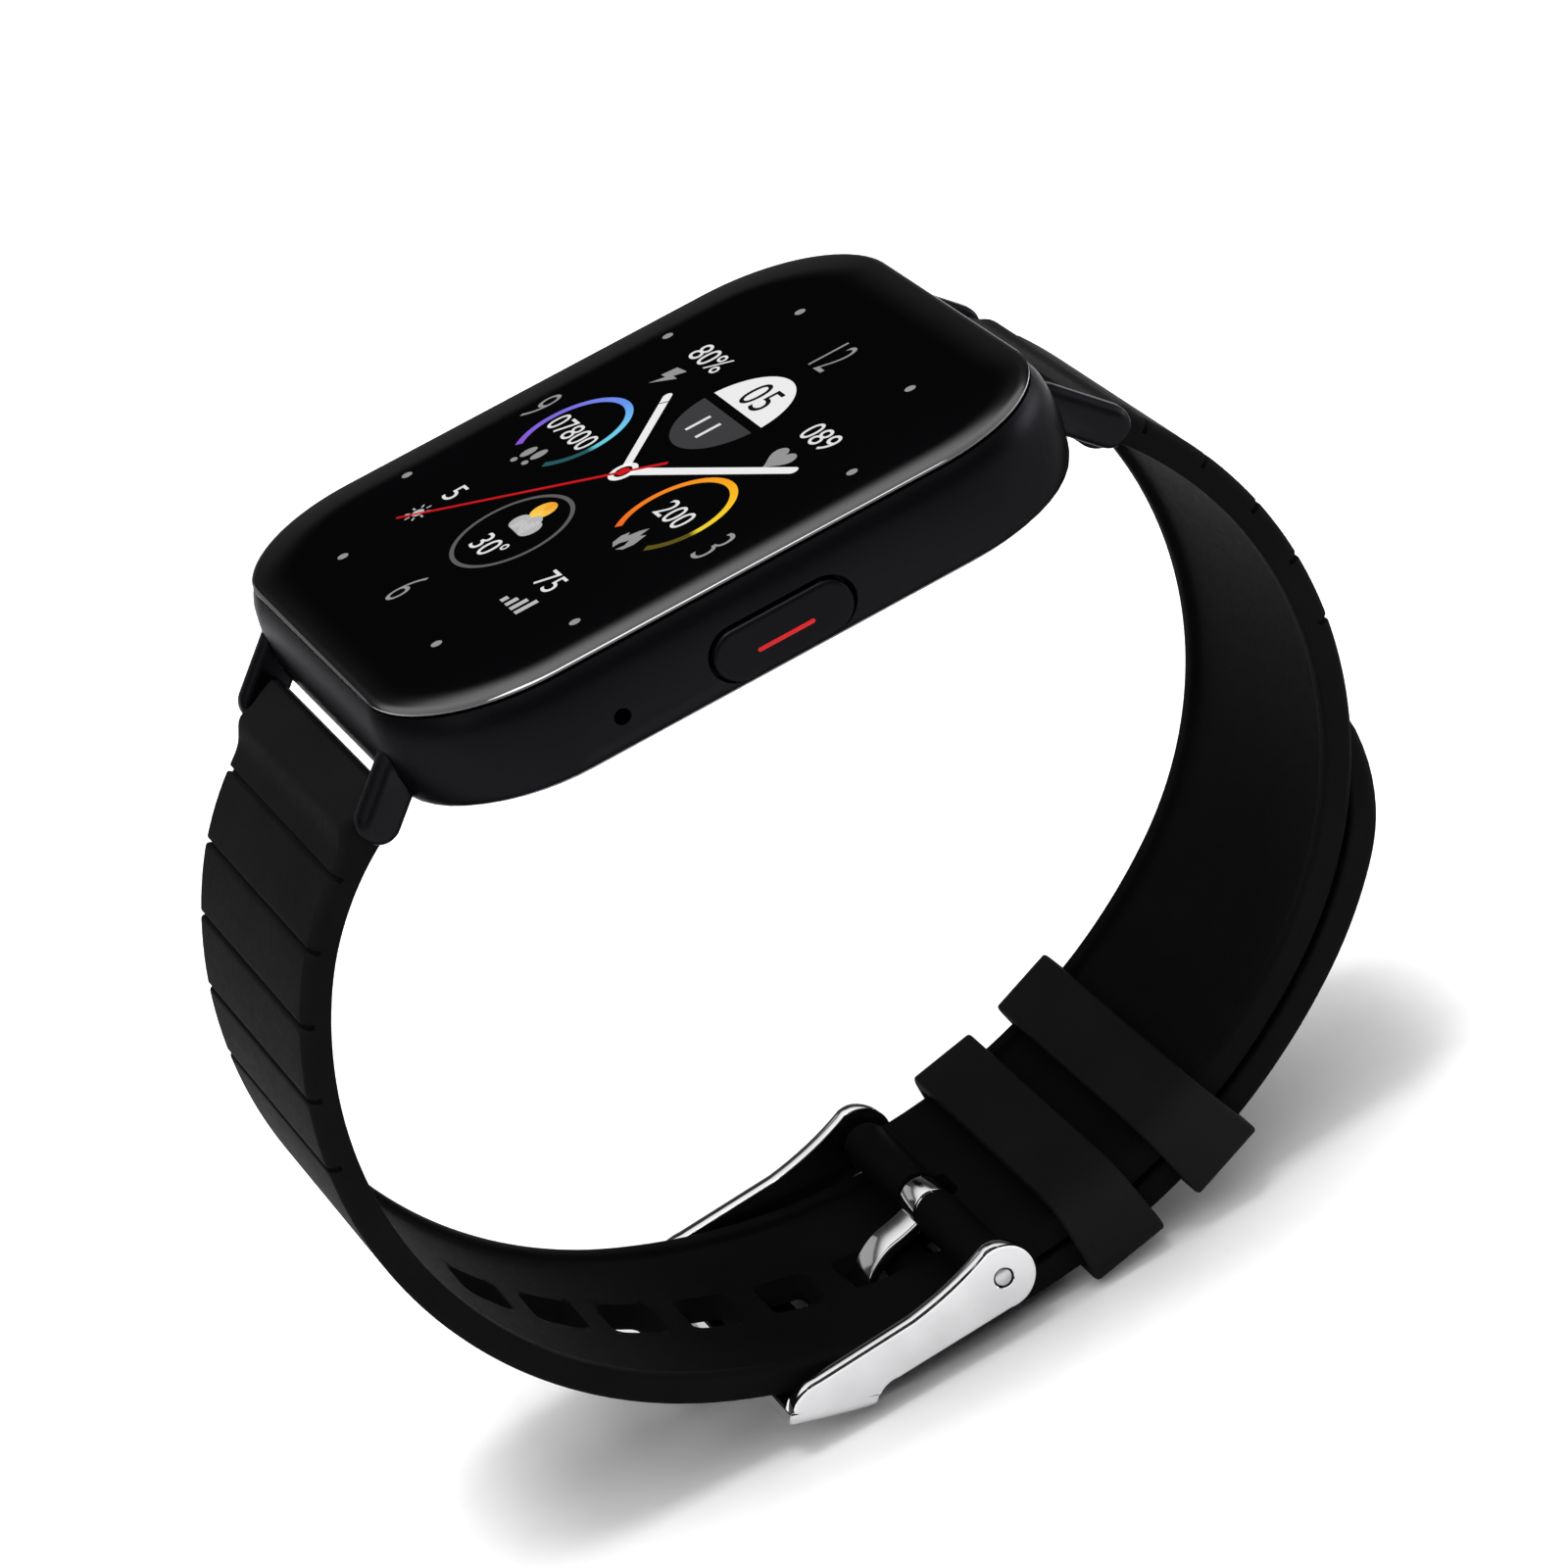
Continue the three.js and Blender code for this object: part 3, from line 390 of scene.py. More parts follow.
class Nodes(Graph):
    """A node material round one Principled shader."""

    def __init__(self, name):
        self.material = bpy.data.materials.new(name)
        self.material.use_nodes = True
        super().__init__(self.material.node_tree)
        self.shader = self.tree.nodes["Principled BSDF"]
        self.place = self.add("ShaderNodeTexCoord").outputs["Object"]

    def noise(self, scale, detail=3, rough=0.5, vector=None):
        return self.add("ShaderNodeTexNoise", {
            "Vector": vector or self.place, "Scale": scale, "Detail": detail, "Roughness": rough,
        }).outputs["Fac"]

    def ramp(self, value, low, high, to_low, to_high):
        return self.add("ShaderNodeMapRange", {
            "Value": value, "From Min": low, "From Max": high, "To Min": to_low, "To Max": to_high,
        }).outputs["Result"]

    def colours(self, value, stops):
        node = self.add("ShaderNodeValToRGB", {"Fac": value})
        elements = node.color_ramp.elements
        while len(elements) < len(stops):
            elements.new(0.5)
        for element, (at, colour) in zip(elements, stops):
            element.position = at
            element.color = (*colour, 1)
        return node.outputs["Color"]

    def bump(self, height, distance, strength, under=None):
        inputs = {"Height": height, "Distance": distance, "Strength": strength}
        if under:
            inputs["Normal"] = under
        return self.add("ShaderNodeBump", inputs).outputs["Normal"]

    def set(self, **inputs):
        for key, value in inputs.items():
            self.wire(self.shader.inputs[key.replace("_", " ")], value)

    def stretched(self, x, y, z):
        """Object coordinates scaled unevenly, for grain that runs one way."""
        return self.add("ShaderNodeMapping", {"Vector": self.place, "Scale": (x, y, z)}).outputs["Vector"]


def silicone(name, tone, light):
    """Matte silicone: a fine skin, slow changes of tone and a little dust in its gloss."""
    n = Nodes(name)
    fine = n.noise(9000, 2, 0.6)
    cloud = n.noise(120, 4, 0.6)
    dust = n.noise(1900, 5, 0.75)
    n.set(
        Base_Color=n.colours(cloud, [(0.3, tone), (0.75, light)]),
        Roughness=n.ramp(dust, 0.3, 0.7, 0.44, 0.56),
        Normal=n.bump(fine, 0.00002, 0.35, n.bump(cloud, 0.0002, 0.1)),
        Specular_IOR_Level=0.0025,
    )
    return n.material


def graphite(name, tone, light):
    """Bead-blasted, dyed aluminium: a very fine grain, with tiny colour drift and a painted highlight along
    its sharp edges.
    """
    n = Nodes(name)
    grain = n.noise(14000, 2, 0.7)
    drift = n.noise(60, 3, 0.5)
    # Painted highlight: where the mesh is sharp and convex, the colour turns lighter.
    edge = n.add("ShaderNodeNewGeometry").outputs["Pointiness"]
    edge_highlight = n.ramp(edge, 0.51, 0.6, 0, 0.35)
    base = n.colours(drift, [(0.3, tone), (0.7, light)])
    highlight_colour = (*(c * 1.7 for c in light), 1)
    both = n.add("ShaderNodeMix", {"Factor": edge_highlight, "A": base, "B": highlight_colour}, data_type="RGBA")
    n.set(
        Base_Color=both.outputs["Result"],
        Metallic=0.8, Specular_IOR_Level=0.1, Specular_Tint=(0.4, 0.4, 0.42, 1),
        Roughness=n.ramp(grain, 0.3, 0.7, 0.30, 0.40),
        Normal=n.bump(grain, 0.000012, 0.3),
    )
    return n.material


def black_glass():
    """Deep black glass with a faint smear in its gloss."""
    n = Nodes("cover glass")
    smear = n.noise(45, 4, 0.55)
    deep = n.noise(25, 2, 0.5)
    n.set(
        Base_Color=n.colours(deep, [(0.35, (0.0012, 0.0012, 0.0014)), (0.7, (0.0019, 0.0019, 0.0023))]),
        Roughness=n.ramp(smear, 0.35, 0.7, 0.035, 0.06),
        Coat_Weight=0.6, Coat_Roughness=0.03, Specular_IOR_Level=0.5,
    )
    return n.material


def chrome():
    """Polished steel with very fine lines along the buckle's bar."""
    n = Nodes("polished steel")
    lines = n.noise(1500, 3, 0.6, n.stretched(0.04, 1, 1))
    cloud = n.noise(300, 3, 0.5)
    n.set(
        Base_Color=n.colours(cloud, [(0.3, (0.60, 0.60, 0.61)), (0.7, (0.68, 0.68, 0.69))]),
        Metallic=1.0,
        Roughness=n.ramp(lines, 0.3, 0.7, 0.07, 0.14),
        Normal=n.bump(lines, 0.000004, 0.4),
    )
    return n.material


def plastic(name, low, high, rough=(0.42, 0.56), scale=5000, shine=0.4):
    """Moulded plastic with a fine spark-eroded texture."""
    n = Nodes(name)
    grain = n.noise(scale, 3, 0.65)
    cloud = n.noise(90, 3, 0.5)
    n.set(
        Base_Color=n.colours(cloud, [(0.3, low), (0.7, high)]),
        Roughness=n.ramp(grain, 0.3, 0.7, *rough),
        Normal=n.bump(grain, 0.00002, 0.45), Specular_IOR_Level=shine,
    )
    return n.material


def metal(name, low, high, rough=(0.2, 0.34), scale=4000, runs=(1, 1, 1), relief=0.000008):
    """Bare metal with a fine grain, which runs along the axes where its scale is small."""
    n = Nodes(name)
    grain = n.noise(scale, 3, 0.6, n.stretched(*runs))
    n.set(
        Base_Color=n.colours(grain, [(0.3, low), (0.7, high)]), Metallic=1.0,
        Roughness=n.ramp(grain, 0.3, 0.7, *rough), Normal=n.bump(grain, relief, 0.4),
    )
    return n.material


def circuit_board():
    """Green solder mask with lighter tracks."""
    n = Nodes("circuit board")
    cells = n.add("ShaderNodeTexVoronoi", {"Vector": n.place, "Scale": 700.0}, feature="DISTANCE_TO_EDGE")
    track = n.ramp(cells.outputs["Distance"], 0.02, 0.06, 1, 0)
    n.set(
        Base_Color=n.colours(track, [(0.2, (0.008, 0.05, 0.022)), (0.8, (0.02, 0.13, 0.05))]),
        Roughness=n.ramp(track, 0, 1, 0.5, 0.35), Normal=n.bump(track, 0.00003, 0.5),
    )
    return n.material


UNLIT = (0.002, 0.002, 0.002, 1)


def lit(name, colour, strength=1.0, mottled=0.04):
    """A part of the lit display, under the glass's gloss."""
    n = Nodes(name)
    cells = n.noise(9000, 2, 0.5)
    dim = tuple(c * (1 - mottled) for c in colour)
    n.set(
        Base_Color=UNLIT,
        Emission_Color=n.colours(cells, [(0.3, dim), (0.7, colour)]), Emission_Strength=strength,
        Roughness=n.ramp(cells, 0, 1, 0.04, 0.07), Specular_IOR_Level=0.5,
    )
    return n.material


def lit_round(name, x, y, stops):
    """Lit colours that change with the angle about a point of the dial, clockwise from straight down."""
    n = Nodes(name)
    centred = n.add("ShaderNodeMapping", {
        "Vector": n.place, "Location": tuple(-row(x, y + DIAL_Y, 0)),
    }).outputs["Vector"]
    flipped = n.add("ShaderNodeMapping", {
        "Vector": centred, "Rotation": (0, 0, math.radians(90)), "Scale": (1, -1, 1),
    }).outputs["Vector"]
    turn = n.add("ShaderNodeTexGradient", {"Vector": flipped}, gradient_type="RADIAL").outputs["Fac"]
    n.set(
        Base_Color=UNLIT, Emission_Color=n.colours(turn, stops), Emission_Strength=1.0,
        Roughness=0.05, Specular_IOR_Level=0.5,
    )
    return n.material


SILICONE = silicone("matte silicone", (0.0050, 0.0050, 0.0051), (0.0066, 0.0066, 0.0068))
# Painted sheen: the keepers are the straps' silicone, drawn about twice as bright.
KEEPER_SILICONE_PAINTED_SHEEN = silicone("keeper silicone painted sheen", (0.0105, 0.0105, 0.0107), (0.0130, 0.0130, 0.0132))
GRAPHITE = graphite("graphite", (0.0050, 0.0049, 0.0058), (0.0068, 0.0066, 0.0078))
GRAPHITE_LUG = graphite("graphite lug", (0.0060, 0.0059, 0.0069), (0.0085, 0.0083, 0.0096))
GLASS = black_glass()
CHROME = chrome()
STEEL = metal(
    "turned steel", (0.42, 0.42, 0.43), (0.58, 0.58, 0.59), (0.24, 0.4), 5000, (1, 0.1, 0.1), 0.00001)
BLACK_PLASTIC = plastic("black plastic", (0.006, 0.006, 0.007), (0.011, 0.011, 0.012))
SEAL = plastic("dark elastomer", (0.003, 0.003, 0.003), (0.006, 0.006, 0.006), (0.6, 0.75), 3000)
RED = plastic("red inlay", (0.50, 0.003, 0.006), (0.64, 0.006, 0.010), (0.42, 0.5), 7000, 0.2)
GOLD = metal("gold plating", (0.75, 0.50, 0.19), (0.86, 0.62, 0.27))
BOARD = circuit_board()
FOIL = metal("foil pouch", (0.40, 0.40, 0.41), (0.55, 0.55, 0.56), (0.3, 0.5), 900)


# ---- glass and display

def glass_height(depth):
    """Height of the glass's top where it is a depth in from its rim."""
    slope = 1 - min(1.0, max(0.0, depth / GLASS_EDGE))
    rim = 1 - min(1.0, max(0.0, depth / 0.5))
    return -GLASS_DROP * (0.72 * slope ** 2 + 0.28 * rim ** 3)


def glass_surface(x, y):
    """Height of the glass's top at a point of the display."""
    hx, hy, corner = GLASS_HALF
    qx, qy = abs(x) - (hx - corner), abs(y - CASE_MIDDLE) - (hy - corner)
    outside = math.hypot(max(qx, 0), max(qy, 0)) + min(max(qx, qy), 0) - corner
    return glass_height(-outside)


def build_glass():
    rings = [
        rounded_ring(GLASS_HALF, inset, GLASS_BOTTOM + rise, 20)
        for inset, rise in ((0.2, 0), (0.04, 0.04), (0, 0.1))
    ]
    steps = 22
    for k in range(steps + 1):
        depth = GLASS_EDGE * (k / steps) ** 1.7
        rings.append(rounded_ring(GLASS_HALF, depth, glass_height(depth) - GLASS_SINK, 20))
    piece("glass_lens", loft(rings), "case", GLASS, ["cover_glass"], sharp=50)


# Everything from here to build_display is drawn flat, in millimetres from the dial's centre.

def flat(points):
    """One flat face."""
    bm = bmesh.new()
    bm.faces.new([bm.verts.new((x, y, 0)) for x, y in points])
    return bm


def outline(points, x, y, size):
    """One flat face of an outline, scaled and moved."""
    return flat([(x + u * size, y + v * size) for u, v in points])


def disc(x, y, radius, sides=40, start=0, sweep=360):
    """A disc, or the segment of one that a chord cuts off."""
    angles = [math.radians(start + sweep * k / sides) for k in range(sides + (sweep < 360))]
    return flat([(x + radius * math.cos(a), y + radius * math.sin(a)) for a in angles])


def oval(x, y, wide, high):
    """An ellipse from its half width and half height."""
    angles = [2 * math.pi * k / 20 for k in range(20)]
    return flat([(x + wide * math.cos(a), y + high * math.sin(a)) for a in angles])


def arc_band(x, y, inner, outer, start=0, sweep=360, sides=72):
    """A ring, or a stretch of one, from an angle in degrees anticlockwise from 3 o'clock."""
    bm = bmesh.new()
    whole = sweep >= 360
    rows = []
    for k in range(sides if whole else sides + 1):
        a = math.radians(start + sweep * k / sides)
        rows.append([bm.verts.new((x + r * math.cos(a), y + r * math.sin(a), 0)) for r in (inner, outer)])
    for a, b in zip(rows, rows[1:] + (rows[:1] if whole else [])):
        bm.faces.new((a[0], a[1], b[1], b[0]))
    return bm


def tapered_line(a, b, wide_a, wide_b):
    """Bar from a to b with its own width at each end and a round far end."""
    (ax, ay), (bx, by) = a, b
    length = math.hypot(bx - ax, by - ay)
    ux, uy = (bx - ax) / length, (by - ay) / length
    points = [(ax - uy * side * wide_a / 2, ay + ux * side * wide_a / 2) for side in (1, -1)]
    for k in range(9):
        angle = math.pi * k / 8
        across = -math.cos(angle) * wide_b / 2
        ahead = math.sin(angle) * wide_b / 2
        points.append((bx + ux * ahead - uy * across, by + uy * ahead + ux * across))
    return flat(points)


def text_mesh(words, x, y, height, width, thin=0.0):
    """Numerals centred on a point, drawn to a height and width."""
    curve = bpy.data.curves.new("numerals", "FONT")
    curve.body = words
    curve.offset = -thin
    curve.resolution_u = 6
    holder = bpy.data.objects.new("numerals", curve)
    bpy.context.scene.collection.objects.link(holder)
    graph = bpy.context.evaluated_depsgraph_get()
    data = bpy.data.meshes.new_from_object(holder.evaluated_get(graph))
    bpy.data.objects.remove(holder)
    bpy.data.curves.remove(curve)
    bm = bmesh.new()
    bm.from_mesh(data)
    bpy.data.meshes.remove(data)
    for axis, (middle, size) in enumerate(((x, width), (y, height))):
        places = [v.co[axis] for v in bm.verts]
        low, high = min(places), max(places)
        for v in bm.verts:
            v.co[axis] = middle + (v.co[axis] - (low + high) / 2) * size / (high - low)
    return bm


def display(name, meshes, material, lift=0.004):
    """A lit piece: flat meshes laid on the curved glass, each layer lifted a little more."""
    bm = merged(*meshes)
    bmesh.ops.triangulate(bm, faces=bm.faces)
    bmesh.ops.subdivide_edges(bm, edges=[e for e in bm.edges if e.calc_length() > 0.9], cuts=2)
    bmesh.ops.recalc_face_normals(bm, faces=bm.faces)
    for face in bm.faces:
        if face.normal.z < 0:
            face.normal_flip()
    for vert in bm.verts:
        x, y = vert.co.x, vert.co.y + DIAL_Y
        vert.co = row(x, y, glass_surface(x, y) - GLASS_SINK + lift)
    piece(name, bm, "case", material)


def heart(x, y, size):
    """A heart, from its usual formula of sines and cosines."""
    points = []
    for k in range(40):
        t = 2 * math.pi * k / 40
        lobes = 13 * math.cos(t) - 5 * math.cos(2 * t) - 2 * math.cos(3 * t) - math.cos(4 * t)
        points.append((x + size * math.sin(t) ** 3, y + size * lobes / 17))
    return flat(points)


BOLT = (
    (0.35, 1.1), (-0.75, 0.95), (-0.95, -0.15), (-0.3, -0.1), (-0.75, -1.15),
    (0.85, 0.3), (0.15, 0.3), (0.6, 1.1),
)
FLAME = (
    (0, 1.2), (0.25, 0.45), (0.6, 0.75), (0.95, -0.2), (0.8, -0.85), (0.3, -1.15), (0.42, -0.6), (0.1, -0.15),
    (-0.2, -0.7), (-0.15, -1.15), (-0.75, -0.9), (-1.0, -0.25), (-0.85, 0.25), (-0.55, 0.0), (-0.35, 0.7),
)
READINGS = (                  # words, x, y, height, width
    ("80%", -9.45, 9.8, 1.7, 4.6), ("089", 9.36, 9.95, 1.7, 3.95), ("07800", -9.5, 0.05, 1.65, 6.2),
    ("200", 9.2, 0.05, 1.7, 3.9), ("5", -9.8, -8.1, 1.65, 1.1), ("75", 9.2, -8.4, 1.65, 2.4),
    ("30", -0.35, -9.3, 1.7, 2.5), ("11", -0.5, 5.75, 1.75, 2.1),
)
HOURS = (
    ("12", -0.35, 14.85, 2.9, 2.1), ("6", -0.2, -14.8, 2.9, 1.15),
    ("9", -15.7, 0.1, 2.9, 1.15), ("3", 16.0, 0, 2.9, 1.15),
)
GAUGE_COLOURS = {
    "steps": (-9.5, [
        (0.1, (0.25, 0.09, 0.62)), (0.3, (0.2, 0.16, 0.75)), (0.5, (0.13, 0.3, 0.85)),
        (0.66, (0.16, 0.62, 0.85)), (0.74, (0.12, 0.6, 0.68)),
        (0.765, (0.018, 0.095, 0.11)), (0.9, (0.018, 0.095, 0.11)),
    ]),
    "calories": (9.14, [
        (0.1, (0.85, 0.13, 0.012)), (0.3, (0.95, 0.25, 0.012)), (0.5, (0.95, 0.4, 0.01)),
        (0.66, (0.95, 0.6, 0.02)), (0.745, (0.85, 0.66, 0.035)),
        (0.77, (0.105, 0.085, 0.008)), (0.9, (0.105, 0.085, 0.008)),
    ]),
}
SUN_COLOURS = [(0.1, (0.95, 0.6, 0.08)), (0.5, (0.9, 0.36, 0.02)), (0.9, (0.95, 0.62, 0.1))]
HUB = (-0.23, 0.1)


def build_date():
    """The round date field: a lit upper half with the day, and a dark lower half."""
    x, y, radius = -0.27, 7.73, 4.12
    upper = disc(x, y, radius, start=4.6, sweep=170.8)
    lower = disc(x, y, radius, start=184.8, sweep=170.4)
    display("display_date_upper", [upper], lit("lit white field", (0.9, 0.9, 0.9), 0.95))
    display("display_date_lower", [lower], lit("lit dark field", (0.045, 0.045, 0.048)))
    day = text_mesh("05", x + 0.02, 9.7, 2.3, 3.3)
    display("display_weekday", [day], lit("unlit", (0.004, 0.004, 0.004)), 0.008)


def build_icons():
    """The hours, the dots between them and the icons of the readings."""
    shapes = [text_mesh(*hour, 0.012) for hour in HOURS]
    for x, y in ((9.3, 16.1), (16.05, 9.3)):
        shapes += [disc(side * x, end * y, 0.36, sides=24) for side in (1, -1) for end in (1, -1)]
    shapes += [outline(BOLT, -10.0, 7.0, 0.98), heart(9.25, 7.15, 1.28), outline(FLAME, 9.25, -2.95, 1.05)]
    for side in (-1, 1):
        for wide, high, ahead in ((0.42, 0.62, 0.3), (0.3, 0.24, -0.72)):
            shapes.append(oval(-9.45 + side * (0.6 - 0.06 * ahead), -3.0 + side * 0.15 + ahead, wide, high))
    display("display_icons", shapes, lit("lit grey", (0.30, 0.30, 0.30)))


def build_readings():
    """The small numerals, and the two coloured gauges round the largest of them."""
    degree_sign = arc_band(1.35, -8.65, 0.17, 0.32, sides=24)
    words = [text_mesh(*reading) for reading in READINGS]
    display("display_numerals", [*words, degree_sign], lit("lit white", (0.78, 0.78, 0.78)), 0.008)
    for name, (x, stops) in GAUGE_COLOURS.items():
        gauge = arc_band(x, 0.05, 3.5, 4.02, -51, 282)
        display(f"display_gauge_{name}", [gauge], lit_round(f"lit gauge {name}", x, 0.05, stops))


def build_weather():
    """The sun behind a cloud, and the small icons of the two readings beside it."""
    display("display_sun", [disc(-0.77, -5.2, 0.93)], lit_round("lit sun", -0.77, -5.2, SUN_COLOURS))
    puffs = [disc(-1.05, -6.75, 0.72), disc(0.75, -6.7, 0.8), disc(0.05, -6.35, 0.75)]
    base = flat([(-1.05, -7.47), (0.75, -7.5), (0.75, -6.5), (-1.05, -6.5)])
    display("display_cloud", [*puffs, base], lit("lit cloud", (0.55, 0.55, 0.56), mottled=0.3), 0.008)
    shapes = []
    for k in range(4):
        left, foot, top = 8.0 + 0.85 * k, -11.4, -10.9 + 0.35 * k
        shapes.append(flat([(left, foot), (left + 0.5, foot), (left + 0.5, top), (left, top)]))
    x, y = -9.8, -10.7
    shapes.append(disc(x, y, 0.42, sides=24))
    for k in range(8):
        ux, uy = math.cos(k * math.pi / 4), math.sin(k * math.pi / 4)
        shapes.append(tapered_line((x + 0.6 * ux, y + 0.6 * uy), (x + 0.88 * ux, y + 0.88 * uy), 0.14, 0.14))
    display("display_level", shapes, lit("lit soft white", (0.5, 0.5, 0.5)))


def build_hands():
    """The hands with their hub, and the dark details on them."""
    hands = [
        tapered_line(HUB, (-7.4, 5.95), 0.62, 0.66),
        tapered_line(HUB, (11.75, 7.05), 0.8, 0.72),
        disc(*HUB, 1.0),
    ]
    details = [disc(*HUB, 0.62), tapered_line((-6.95, 5.2), (-6.5, 5.75), 0.12, 0.12)]
    second = [tapered_line((1.85, 2.4), (-10.6, -11.85), 0.3, 0.22), disc(*HUB, 0.42)]
    display("display_hands", hands, lit("lit hands", (0.86, 0.86, 0.86)), 0.012)
    display("display_hand_details", details, lit("unlit hub", (0.02, 0.0, 0.0)), 0.016)
    display("display_second_hand", second, lit("lit red", (0.60, 0.008, 0.012)), 0.020)


def build_display():
    build_date()
    weather_ring = arc_band(-0.27, -7.55, 3.78, 4.08)
    display("display_rings", [weather_ring], lit("lit ring grey", (0.11, 0.11, 0.11)))
    build_icons()
    build_readings()
    build_weather()
    build_hands()


# ---- case, lugs, rear

def case_side(steps):
    """The case's outer side, as (height, how far in from CASE_HALF) from its foot up."""
    return [(z, max(inset, 0)) for z, inset in spline(CASE_SIDE, steps)]


def build_case():
    levels = [(CASE_HALF, inset, z) for z, inset in case_side(30)]
    levels += [(CASE_HALF, 0.72, -0.7), (CASE_HALF, 1.3, -0.705)]
    levels += [(CAVITY_HALF, 0, -0.92), (CAVITY_HALF, 0, -7.42)]
    levels += [(REAR_OPENING, 0, -7.45), (REAR_OPENING, 0, -8.4), (REAR_OPENING, -0.1, -8.5)]
    case = new_object("case_shell", loft([rounded_ring(*level) for level in levels], around=True))
    y, z = BUTTON["y"], BUTTON["z"]
    size = (BUTTON["length"] + 0.3, BUTTON["height"] + 0.3)
    mouth = ((19.48, 0), (20.72, 0), (20.84, -0.06), (21.1, -0.3), (23, -0.3))
    pocket = loft([pill_ring(*size, inset, x, y, z, 16) for x, inset in mouth])
    stem = rod(row(16, y, z), 4, 0.95, 24)
    mic_hole = [(0, 0), (0, 0.5), (4.8, 0.5), (5.0, 0.62), (7, 0.62), (7, 0)]
    carve(case, pocket, stem, revolve(mic_hole, row(16, *MIC), (1, 0, 0), 32))
    finish(case, "case", GRAPHITE, ["case_frame"], sharp=32)


def lug_outline():
    """Side view (y, z) of a lug at 12 o'clock: a slab at 45 degrees, round at the nose and at its root."""
    slope = math.radians(45)
    root = (BAR[0] - LUG_REACH * math.cos(slope), BAR[1] + LUG_REACH * math.sin(slope))
    points = []
    for (y, z), first, steps in ((BAR, -slope - math.pi / 2, 16), (root, slope, 8)):
        for k in range(steps + 1):
            angle = first + math.pi * k / steps
            points.append((y + LUG_RADIUS * math.cos(angle), z + LUG_RADIUS * math.sin(angle)))
    return evened(points, 0.5)


def build_lugs():
    inner, outer = LUG_X
    levels = [(inner + x, inset) for x, inset in LUG_INNER_EDGE]
    levels += [(outer + x, inset) for x, inset in LUG_OUTER_EDGE]
    grown = [size + 0.03 for size in CASE_HALF]
    inside_case = [(4.6, -14)] + [(inset, z) for z, inset in case_side(20)] + [(0.66, 2)]
    for clock, end in ((6, -1), (12, 1)):
        for label, side in (("button_side", 1), ("far_side", -1)):
            body = f"lug_{clock}_{label}"
            rings = [outline_ring(lug_outline(), inset, x, (side, end)) for x, inset in levels]
            lug = new_object(f"{body}_fine", loft(rings))
            tip = rod(row(side * 11, end * BAR[0], BAR[1]), 1.2, 0.5, 20, (side, 0, 0))
            carve(lug, loft([rounded_ring(grown, inset, z) for inset, z in inside_case]), tip)
            finish(lug, "case", GRAPHITE_LUG, [body], sharp=30)


def build_rear():
    """Rear cover with a lens in its well and two charging contacts; its profiles run down from the inside."""
    down = (0, 0, -1)
    cover = [size - 0.1 for size in REAR_OPENING]
    levels = ((-7.55, 0), (-8.4, 0), (-8.56, 0.05), (-8.63, 0.15), (-8.65, 0.32))
    rear = new_object("rear_shell", loft([rounded_ring(cover, inset, z, 16) for z, inset in levels]))
    well = [(0, 0), (0, 8.1), (2.2, 8.1), (2.3, 8.2), (4, 8.2), (4, 0)]
    holes = [rod(row(x, PADS["y"], -6.4), 4, 1, 32, down) for x in PADS["x"]]
    carve(rear, revolve(well, row(0, CASE_MIDDLE, -6.4), down, 72), *holes)
    finish(rear, "case", BLACK_PLASTIC, ["rear_cover"], sharp=30)
    dome = [(0.0, 0), (0.0, 8.0)]
    for k in range(14):
        angle = math.pi / 2 * k / 14
        dome.append((0.42 + 0.93 * math.sin(angle), 8.0 * math.cos(angle) ** 0.8))
    lens = revolve(dome + [(1.35, 0)], row(0, CASE_MIDDLE, -8.2), down, 72)
    piece("sensor_lens", lens, "case", GLASS, ["sensor_window"], 40)
    pad = [(0, 0), (0, 0.5), (0.3, 0.5), (0.3, 0.9), (1.45, 0.9), (1.6, 0.84), (1.65, 0.7), (1.65, 0)]
    for i, x in enumerate(PADS["x"], 1):
        contact = revolve(pad, row(x, PADS["y"], -7.2), down, 36)
        piece(f"contact_pad_{i}", contact, "case", GOLD, [f"charging_contact_{i}"])


def build_button():
    """The button's cap with its stem, and the red line let into it."""
    y, z = BUTTON["y"], BUTTON["z"]
    size = (BUTTON["length"] - 0.1, BUTTON["height"] - 0.1)
    cap = (
        (19.95, 0), (20.75, 0), (20.88, 0.02), (20.98, 0.07),
        (21.04, 0.15), (21.07, 0.26), (21.08, 0.42), (21.085, 1.2),
    )
    rings = [pill_ring(*size, inset, x, y, z, 20) for x, inset in cap]
    stem = revolve([(0, 0), (0, 0.7), (0.05, 0.75), (3.7, 0.75), (3.7, 0)], row(16.35, y, z), (1, 0, 0), 24)
    piece("button_cap", merged(loft(rings), stem), "button", GRAPHITE, ["side_button"], 30)
    line = ((20.8, 0), (21.09, 0), (21.098, 0.05))
    rings = [pill_ring(3.8, 0.27, inset, x, y, z - 0.25, 8) for x, inset in line]
    piece("button_line", loft(rings), "button", RED, ["button_inlay"], 30)


# ---- straps

